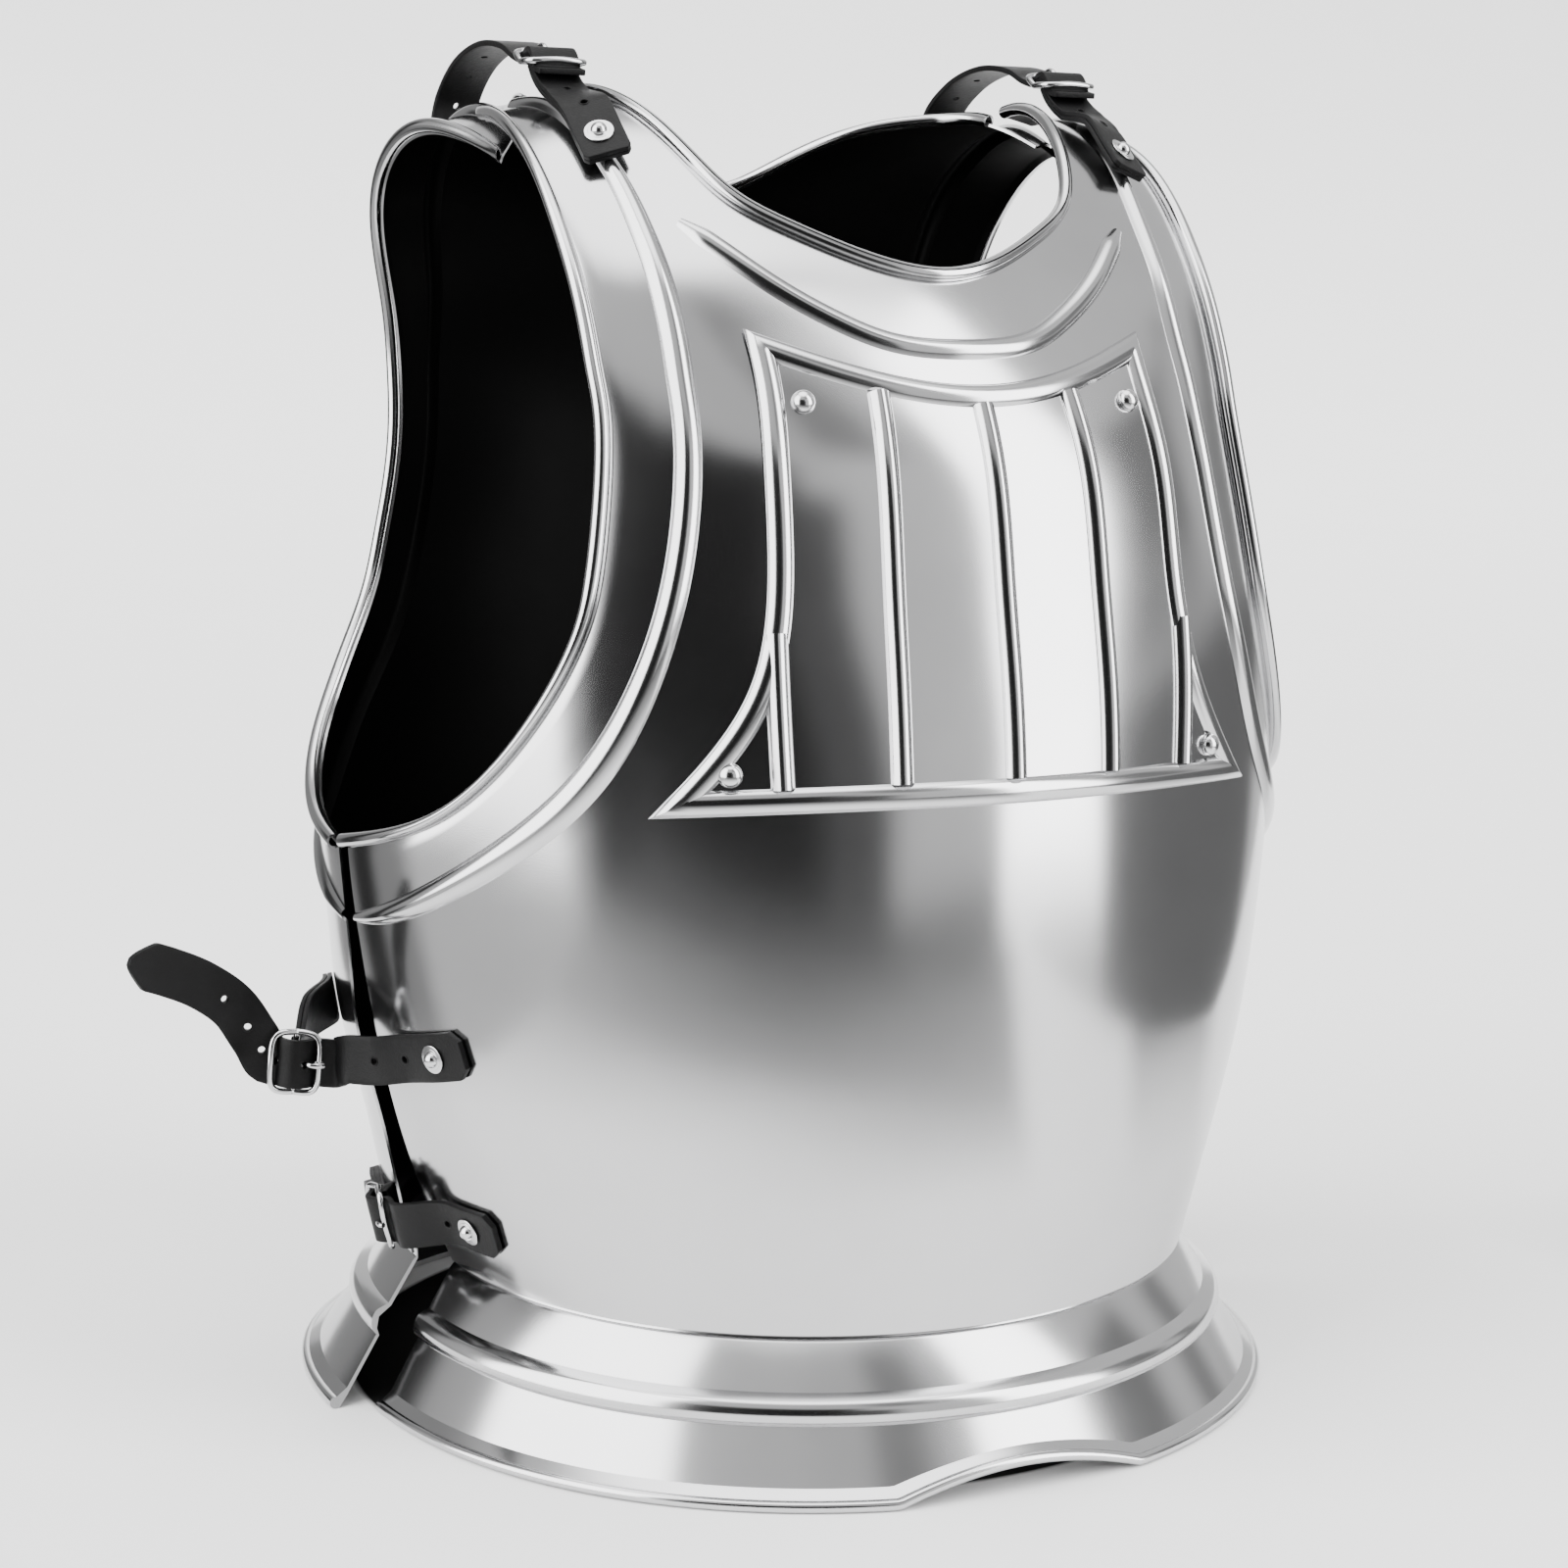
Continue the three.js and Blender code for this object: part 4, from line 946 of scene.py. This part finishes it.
def buckle(place, props):
    """Rounded wire frame raised at its ends, centre bar, and a tongue wrapped round the bar."""
    r = props.wire / MM
    half_u, half_w = BUCKLE_HALF
    ring = []
    for a in circle(96):
        c, s = math.cos(a), math.sin(a)
        bulge = (abs(c) ** SQUARENESS + abs(s) ** SQUARENESS) ** (-1 / SQUARENESS)
        ring.append(place.at(half_u * c * bulge, half_w * s * bulge, END_RISE * abs(c) + BAR_DROP))
    parts = [wire(ring, r, 14, True)]
    parts.append(wire([place.at(0, half_w * k / 4, BAR_DROP) for k in range(-4, 5)], r * 0.95))
    path, _ = smooth_path([place.at(u, 0, h) for u, h in TONGUE], 0.6)
    parts.append(wire(path, r * 0.85, 12))
    loop = [place.at(TONGUE_LOOP * math.cos(a), 0, BAR_DROP + TONGUE_LOOP * math.sin(a))
            for a in circle(20)]
    parts.append(wire(loop, r * 0.7, 10, True))
    return use(join(parts), MATERIALS["wire"])


HOLE, HOLE_RIM, RIM_WIRE = 1.6, 1.9, 0.35   # radius of a hole, of its raised rim and its wire
LAYER, LAYER_STEP = 2.1, 2.25   # thickness of a chape's layer, and the way to the next one
CHAPE_WIDTH, STRAP_WIDTH = 20.4, 21
CORNER = 0.9        # how far a clipped corner slants in for each millimetre along


def ribbon(stops, hint, width, thick, holes=(), bevel=0.45, step=1.3):
    """Strap along stops (underside place, way across); width is a function of the distances
    from its two ends; holes are distances from its start. Returns it."""
    path, marks = smooth_path([p for p, _ in stops], step)
    ways = [stops[0][1]]
    for _, way in stops[1:]:
        ways.append(-way if way.dot(ways[-1]) < 0 else way)
    run = [0.0]
    for a, b in zip(path, path[1:]):
        run.append(run[-1] + (b - a).length)
    rings, frames = [], []
    for i, p in enumerate(path):
        k = min(int(marks[i]), len(ways) - 2)
        t = (path[min(i + 1, len(path) - 1)] - path[max(i - 1, 0)]).normalized()
        side = ways[k].lerp(ways[k + 1], marks[i] - k)
        side = (side - t * side.dot(t)).normalized()
        face = facing(t, side, hint)
        w = width(run[i], run[-1] - run[i])
        rings.append([p + side * (w * (j / 10 - 0.5)) for j in range(11)])
        frames.append((p, side, face))
    obj = grid_object("strap", rings)
    middle = frames[len(frames) // 2]
    near = min(obj.data.polygons, key=lambda f: (f.center - middle[0] * MM).length)
    if near.normal.dot(middle[2]) < 0:
        obj.data.flip_normals()
    modifier(obj, "SOLIDIFY", thickness=thick * MM, offset=1)
    modifier(obj, "BEVEL", width=bevel * MM, segments=3, limit_method="ANGLE", angle_limit=math.radians(50))
    rims = []
    for place in holes:
        i = min(range(len(run)), key=lambda j: abs(run[j] - place))
        p, side, face = frames[i]
        cutter = aimed(cylinder(HOLE, thick + 3, -1.5, 0, 24), p, face)
        modifier(obj, "BOOLEAN", operation="DIFFERENCE", object=cutter, solver="EXACT")
        bpy.data.objects.remove(cutter)
        t = side.cross(face)
        top = p + face * (thick - 0.05)
        rims.append(wire([top + (t * math.cos(a) + side * math.sin(a)) * HOLE_RIM
                          for a in circle(28)], RIM_WIRE, 8, True))
    return use(join([obj, *rims]), MATERIALS["leather"])


def on(skin, angle, row, lift, way):
    """Stop of a strap above a skin, lying across it round the body or up it."""
    across = skin.across(angle, row) if way == "round" else skin.rise(angle, row)
    return skin.lifted(angle, row, lift), across


def flipped(stop):
    """The same vectors on the other side of the body."""
    return tuple(Vector((-v.x, v.y, v.z)) for v in stop)


def clipped(full, cut=5.0):
    """Width with both corners clipped at the start."""
    return lambda a, b: full - 2 * max(0.0, cut - a) * CORNER


def pointed(full, cut=5.0, tip=16.0):
    """Width with clipped corners at the start and a pointed far end."""
    start = clipped(full, cut)
    return lambda a, b: min(start(a, b), 3.0 + full * min(1.0, (b / tip) ** 0.75))


def chape(stops, hint, clip=5.0, holes=()):
    """Short doubled leather round a buckle's bar: two layers with a seam line between."""
    end = clipped(CHAPE_WIDTH, clip)
    width = lambda a, b: end(b, a)
    lower = ribbon(stops, hint, width, LAYER, bevel=0.4)
    raised = []
    for i, (p, way) in enumerate(stops):
        a, b = stops[max(i - 1, 0)][0], stops[min(i + 1, len(stops) - 1)][0]
        raised.append((p + facing((b - a).normalized(), way, hint) * LAYER_STEP, way))
    upper = ribbon(raised, hint, width, LAYER, bevel=0.4, holes=holes)
    return join([lower, upper])


def woven(place, before, after):
    """Stops of a strap that goes through a buckle, between those before and after it."""
    return [*before, *place.stops(WEAVE), *after]


def finish_part(obj, group, part, tag, mirror=False):
    """Finishes a strap, chape, buckle or rivet of a shoulder or a side."""
    finish_piece(obj, f"{group}_{part}_{tag}", mirror=mirror)


# Shoulder strap: distance from the middle, its arc over the gap and the chape's end (y, z)
SHOULDER_X = 127
SHOULDER_ARC = [(112, 569), (92, 583), (62, 590), (36, 588)]
SHOULDER_CHAPE = [(-31, 560), (-46, 548), (-56, 539.6)]
# Standing end of the right upper strap (x, y, z), and the leather's thickness
FREE_END = [(-258, 14, 167), (-267, 16, 181), (-281, 15, 192), (-297, 12, 200), (-315, 7, 207)]
LEATHER = 2.6


def shoulder_set(tag, mirror, props):
    """Strap over one shoulder with its chape, buckle and rivets, made for the left."""
    place = Axes(Vector((SHOULDER_X, 5, 582)), Vector((0, 1, 0.24)), Vector((-1, 0, 0)))
    high, level = Vector((0, 0.3, 1)), Vector((1, 0, 0))
    seats = [(37, 11.9, 5), (36.8, 12.35, 5), (36.8, 12.75, 6)]
    rear = [on(back, a, r, lift, "round") for a, r, lift in seats]
    rear += [(Vector((SHOULDER_X, y, z)), level) for y, z in SHOULDER_ARC]
    stops = woven(place, rear, place.stops([(-15, -3)], level))
    strap = ribbon(stops, high, clipped(STRAP_WIDTH), LEATHER, holes=(52, 72, 92))
    finish_part(strap, "shoulder", "strap", tag, mirror)
    low = place.stops([(0, -2.6), (-5, -6.4), (-12, -9.6), (-22, -12)], level)
    low += [(Vector((SHOULDER_X - 1, y, z)), Vector((0.93, 0.22, -0.29))) for y, z in SHOULDER_CHAPE]
    finish_part(chape(low, high, 2.0, (22, 42)), "shoulder", "chape", tag, mirror)
    finish_part(buckle(place, props), "shoulder", "buckle", tag, mirror)
    seat, end = low[-2], low[-1]
    face = (end[0] - seat[0]).cross(seat[1]).normalized()
    made = strap_rivet(seat[0] + face * 4.4, face)
    finish_part(made, "shoulder", "rivet_front", tag, mirror)
    made = strap_rivet(back.lifted(36.9, 12.2, 5.1 + LEATHER), back.normal(36.9, 12.2))
    finish_part(made, "shoulder", "rivet_back", tag, mirror)


def side_set(tag, mirror, row, back_row, props):
    """Side strap lying close to the plates, with its chape, buckle and rivet."""
    seam = back.lifted(88, row - 0.15, 9)
    seam.y = 9
    place = Axes(seam, Vector((0.05, -1, 0)), -back.rise(88, row))
    outside = Vector((1, 0, 0))
    lead = [on(front, a, row, lift, "up") for a, lift in [(70.5, 0.7), (75.8, 0.7), (80.5, 1.6)]]
    tail = [*place.stops([(-17, -3)]), on(back, 77, back_row, 7.2, "up")]
    strap = ribbon(woven(place, lead, tail), outside, pointed(STRAP_WIDTH), LEATHER, holes=(33,))
    finish_part(strap, "side", "strap", tag, mirror)
    low = place.stops([(0, -4), (-6, -8.6)])
    low += [on(back, a, back_row, lift, "up") for a, lift in [(80, 1), (74, 0.9), (69, 0.9)]]
    finish_part(chape(low, outside), "side", "chape", tag, mirror)
    finish_part(buckle(place, props), "side", "buckle", tag, mirror)
    made = strap_rivet(front.lifted(75.8, row, 0.8 + LEATHER), front.normal(75.8, row))
    finish_part(made, "side", "rivet", tag, mirror)


def standing_set(tag, props):
    """Right upper strap, standing off the plates with its long end curling up and out."""
    place = Axes(Vector((-243, 6, 156.5)), Vector((0.94, -0.32, -0.08)), Vector((0, 0, 1)))
    seats = [(69.8, 3.09, 0.8), (74.6, 2.98, 0.8), (81, 2.85, 1.2)]
    lead = [flipped(on(front, a, r, lift, "up")) for a, r, lift in seats]
    lead += [(Vector((-214, -16, 159.5)), place.w), (Vector((-222, -4, 158)), place.w)]
    tail = [(Vector(p), place.w) for p in FREE_END]
    strap = ribbon(woven(place, lead, tail), Vector((-0.7, -0.7, 0)), pointed(STRAP_WIDTH, tip=13), LEATHER,
                   holes=(40, 60, 92, 101, 112, 123, 135, 152))
    finish_part(strap, "side", "strap", tag)
    low = [*place.stops([(1.8, -2), (3.4, -12)]), (Vector((-226, 34, 167)), place.w),
           flipped(on(back, 76, 3.02, 1.6, "up")), flipped(on(back, 71, 3.0, 1.2, "up"))]
    finish_part(chape(low, Vector((-1, 0.2, 0))), "side", "chape", tag)
    finish_part(buckle(place, props), "side", "buckle", tag)
    spot, normal = flipped((front.lifted(74.6, 2.98, 0.9 + LEATHER), front.normal(74.6, 2.98)))
    finish_part(strap_rivet(spot, normal), "side", "rivet", tag)


# ---- stage

# Floor and sweep: distance back, height, left and right edges, in metres. Behind the cuirass
# its edges keep to what the camera sees, and in front it runs on past the cuirass.
PAPER = table("y z left right", [
    (-1.9, 0, -1.6, 0.8), (-1, 0, -1.2, 0.8), (-0.4, 0, -0.75, 0.8), (0, 0, -0.47, 0.8),
    (0.5, 0, -0.33, 1.3), (1, 0, -0.2, 1.8), (2, 0, 0.03, 2.9), (3, 0, 0.27, 4.2),
    (4.2, 0.05, 0.54, 5.2), (4.7, 0.22, 0.66, 5.8), (5.15, 0.5, 0.76, 6.2), (5.5, 0.9, 0.82, 6.5),
    (5.75, 1.4, 0.87, 6.5), (5.9, 2.0, 0.87, 6.5), (6.0, 3.0, 0.87, 6.5), (6.0, 6.0, 0.87, 6.5),
])
PAPER_PARTS = 12
PAPER_BACK = Vector((0, 3000, -9000))   # a point that the paper faces away from

# Camera: its place on the wearer's axes, degrees round, down and over, sensor and reach
CAMERA_PLACE = (-656.9, -1254.5, 500.5)
CAMERA_TURNS = (-27.21, 9.49, 1.0)
SENSOR, CAMERA_REACH = 36, 50

# What the steel reflects: directions round from -Y towards +X and up, in degrees, with the
# brightness there. Each row is laid over the ones before it.
ROOM_BASE = 0.9
ROOM = table("turn half low high soft level", [
    (0, 400, 64, 95, 8, 5.0),        # white ceiling
    (-32, 24, -95, 34, 5, 0.02),     # dark room behind the camera
    (-5, 7, -95, 22, 5, 0.1),
    (15, 14, -95, 34, 4, 1.0),       # grey wall
    (6, 9, 36, 58, 6, 0.3),
    (-13, 8, 36, 60, 6, 0.8),
    (73, 10, 4, 30, 4, 0.25),        # dark gap beside the right soft box
    (85, 27, -95, 2, 4, 0.2),
    (98, 5, 0, 22, 4, 0.3),
    (-160, 40, -95, 45, 6, 0.35),
    (-130, 11, 0, 32, 5, 0.6),
    (-149, 8, -30, 26, 4, 0.03),
    (43, 15, -8, 60, 2.5, 9.0),      # right soft box
    (-90, 29, -10, 60, 3, 7.0),      # left soft box
])


def stage(props):
    """White paper sweep with a raised back, the studio round it, and the camera."""
    rings = []
    for row in PAPER:
        left, right = row["left"], row["right"]
        rings.append([Vector((left + (right - left) * k / PAPER_PARTS, row["y"], row["z"])) / MM
                      for k in range(PAPER_PARTS + 1)])
    floor = face_out(grid_object("floor", rings), PAPER_BACK)
    use(floor, MATERIALS["floor"])
    bpy.ops.object.shade_smooth()
    studio_light(props.ambient)
    bpy.ops.object.camera_add()
    camera = bpy.context.view_layer.objects.active
    camera.data.sensor_width = SENSOR
    camera.data.lens = props.lens
    a, t, r = (math.radians(turn) for turn in CAMERA_TURNS)
    forward = Vector((-math.sin(a) * math.cos(t), math.cos(a) * math.cos(t), -math.sin(t)))
    right = Vector((math.cos(a), math.sin(a), 0))
    up = right.cross(forward)
    across = right * math.cos(r) + up * math.sin(r)
    above = up * math.cos(r) - right * math.sin(r)
    turn = Matrix((across, above, -forward)).transposed().to_4x4()
    camera.matrix_world = Matrix.Translation(Vector(CAMERA_PLACE) * MM + SHIFT) @ turn
    camera.data.clip_end = CAMERA_REACH
    bpy.context.scene.camera = camera


def studio_light(strength):
    """Soft studio light all round: each row of ROOM mixes its brightness over the last."""
    world = bpy.data.worlds.new("studio")
    bpy.context.scene.world = world
    world.use_nodes = True
    tree = world.node_tree

    def fade(value, start, stop):
        """Smooth step from 0 at start to 1 at stop."""
        settings = {"interpolation_type": "SMOOTHSTEP", "From Min": start, "From Max": stop}
        return node(tree, "ShaderNodeMapRange", settings, {"Value": value}).outputs["Result"]

    turn, height = bearing(tree, node(tree, "ShaderNodeTexCoord").outputs["Generated"])
    turn = maths(tree, "DEGREES", turn)
    lift = maths(tree, "DEGREES", maths(tree, "ARCSINE", height))
    level = None
    for row in ROOM:
        away = maths(tree, "ABSOLUTE", maths(tree, "SUBTRACT", turn, float(row["turn"])))
        soft = row["soft"]
        inside = fade(away, row["half"] + soft, row["half"] - soft)
        over = fade(lift, row["low"] - soft, row["low"] + soft)
        under = fade(lift, row["high"] + soft, row["high"] - soft)
        mask = maths(tree, "MULTIPLY", maths(tree, "MULTIPLY", inside, over), under)
        mix = node(tree, "ShaderNodeMix", None, {0: mask})
        if level is None:
            mix.inputs[2].default_value = ROOM_BASE
        else:
            tree.links.new(level, mix.inputs[2])
        mix.inputs[3].default_value = row["level"]
        level = mix.outputs[0]
    sky = tree.nodes["Background"]
    tree.links.new(maths(tree, "MULTIPLY", level, strength), sky.inputs["Strength"])
    sky.inputs["Color"].default_value = linear("#ffffff")


# ---- add-on

def length(name, description, size):
    """Length property, its default in millimetres."""
    return FloatProperty(name=name, description=description, default=size * MM, unit="LENGTH")


class PlateSettings(bpy.types.PropertyGroup):
    sheet: length("Sheet", "Thickness of the steel", 1.2)
    ridge_height: length("Ridge height", "Height of the ridge beside an armhole", 3.6)
    bead_height: length("Bead height", "Height of the bead below the neck", 3.4)
    fineness: IntProperty(name="Fineness", description="Stations per row of the outline tables", default=14)


class PanelSettings(bpy.types.PropertyGroup):
    sheet: length("Sheet", "Thickness of the panel", 1.2)
    panel_lift: length("Lift", "Gap between panel and chest", 0.9)
    border_width: length("Border width", "Width of the raised border", 10.5)
    rib_width: length("Rib width", "Width of a raised rib", 10)


class SkirtSettings(bpy.types.PropertyGroup):
    arch_half: length("Arch half width", "Half width of the front arch", 58)
    arch_rise: length("Arch rise", "Rise of the front arch", 10)
    skirt_steps: IntProperty(name="Steps", description="Steps round half the waist", default=300)


class StrapSettings(bpy.types.PropertyGroup):
    wire: length("Wire radius", "Radius of the buckle wire", 1.4)


class StudioSettings(bpy.types.PropertyGroup):
    lens: FloatProperty(name="Lens", description="Focal length of the camera in millimetres", default=72.0)
    ambient: FloatProperty(name="Room light", description="Strength of the room light", default=1.0)


class CUIRASS_OT_breastplate(bpy.types.Operator):
    """Builds the breastplate with its neck bead and rolled edges"""
    bl_idname = "cuirass.breastplate"
    bl_label = "Breastplate"

    def execute(self, context):
        props = context.scene.cuirass_plates
        obj = plate("breastplate", front, FRONT_LINES, props, [neck_bead(props)])
        finish_piece(obj, "breastplate")
        return {"FINISHED"}


class CUIRASS_OT_backplate(bpy.types.Operator):
    """Builds the backplate with its rolled edges"""
    bl_idname = "cuirass.backplate"
    bl_label = "Backplate"

    def execute(self, context):
        obj = plate("backplate", back, BACK_LINES, context.scene.cuirass_plates, [])
        finish_piece(obj, "backplate")
        return {"FINISHED"}


class CUIRASS_OT_panel(bpy.types.Operator):
    """Builds the ribbed chest panel and its four rivets"""
    bl_idname = "cuirass.panel"
    bl_label = "Chest panel"

    def execute(self, context):
        props = context.scene.cuirass_panel
        finish_piece(chest_panel(props), "chest_panel")
        lift = (props.panel_lift + props.sheet) / MM
        for level, angle, row in PANEL_RIVETS:
            for side, sign in (("left", 1), ("right", -1)):
                made = panel_rivet(front.lifted(sign * angle, row, lift), front.normal(sign * angle, row))
                finish_piece(made, f"panel_rivet_{level}_{side}")
        return {"FINISHED"}


class CUIRASS_OT_skirts(bpy.types.Operator):
    """Builds the flared skirts of both plates"""
    bl_idname = "cuirass.skirts"
    bl_label = "Skirts"

    def execute(self, context):
        props = context.scene.cuirass_skirts
        made = skirt("front_flange", front, 1.0, props.arch_rise / MM, FRONT_SKIRT_ENDS, props)
        finish_piece(made, "front_flange", SKIRT_CREASE)
        made = skirt("rear_flange", back, BACK_SPREAD, 0, BACK_SKIRT_ENDS, props)
        finish_piece(made, "rear_flange", SKIRT_CREASE)
        return {"FINISHED"}


class CUIRASS_OT_shoulder_straps(bpy.types.Operator):
    """Builds both shoulder straps with their buckles and rivets"""
    bl_idname = "cuirass.shoulder_straps"
    bl_label = "Shoulder straps"

    def execute(self, context):
        props = context.scene.cuirass_straps
        shoulder_set("left", False, props)
        shoulder_set("right", True, props)
        return {"FINISHED"}


class CUIRASS_OT_side_straps(bpy.types.Operator):
    """Builds the four side straps with their buckles and rivets"""
    bl_idname = "cuirass.side_straps"
    bl_label = "Side straps"

    def execute(self, context):
        props = context.scene.cuirass_straps
        side_set("lower_left", False, 0.84, 0.5, props)
        side_set("lower_right", True, 0.84, 0.5, props)
        side_set("upper_left", False, 3.0, 2.9, props)
        standing_set("upper_right", props)
        return {"FINISHED"}


class CUIRASS_OT_studio(bpy.types.Operator):
    """Builds the floor, the light of the room and the camera"""
    bl_idname = "cuirass.studio"
    bl_label = "Studio"

    def execute(self, context):
        stage(context.scene.cuirass_studio)
        return {"FINISHED"}


OPERATORS = (
    CUIRASS_OT_breastplate, CUIRASS_OT_backplate, CUIRASS_OT_panel, CUIRASS_OT_skirts,
    CUIRASS_OT_shoulder_straps, CUIRASS_OT_side_straps, CUIRASS_OT_studio,
)
SETTINGS = {
    "cuirass_plates": PlateSettings,
    "cuirass_panel": PanelSettings,
    "cuirass_skirts": SkirtSettings,
    "cuirass_straps": StrapSettings,
    "cuirass_studio": StudioSettings,
}


class CUIRASS_PT_panel(bpy.types.Panel):
    """Settings and buttons of the cuirass"""
    bl_idname = "CUIRASS_PT_panel"
    bl_label = "Steel cuirass"
    bl_space_type = "VIEW_3D"
    bl_region_type = "UI"
    bl_category = "Cuirass"

    def draw(self, context):
        for name, group in SETTINGS.items():
            box = self.layout.box()
            for key in group.__annotations__:
                box.prop(getattr(context.scene, name), key)
        for operator in OPERATORS:
            self.layout.operator(operator.bl_idname)


def register():
    """Registers the settings, the operators and the panel."""
    for name, group in SETTINGS.items():
        bpy.utils.register_class(group)
        setattr(bpy.types.Scene, name, PointerProperty(type=group))
    for item in (*OPERATORS, CUIRASS_PT_panel):
        bpy.utils.register_class(item)


def unregister():
    """Takes back what register does."""
    for item in (CUIRASS_PT_panel, *reversed(OPERATORS)):
        bpy.utils.unregister_class(item)
    for name, group in SETTINGS.items():
        delattr(bpy.types.Scene, name)
        bpy.utils.unregister_class(group)


def main():
    register()
    make_materials()
    for work in (bpy.ops.cuirass.breastplate, bpy.ops.cuirass.backplate, bpy.ops.cuirass.panel,
                 bpy.ops.cuirass.skirts, bpy.ops.cuirass.shoulder_straps, bpy.ops.cuirass.side_straps,
                 bpy.ops.cuirass.studio):
        work()


if __name__ == "__main__":
    main()
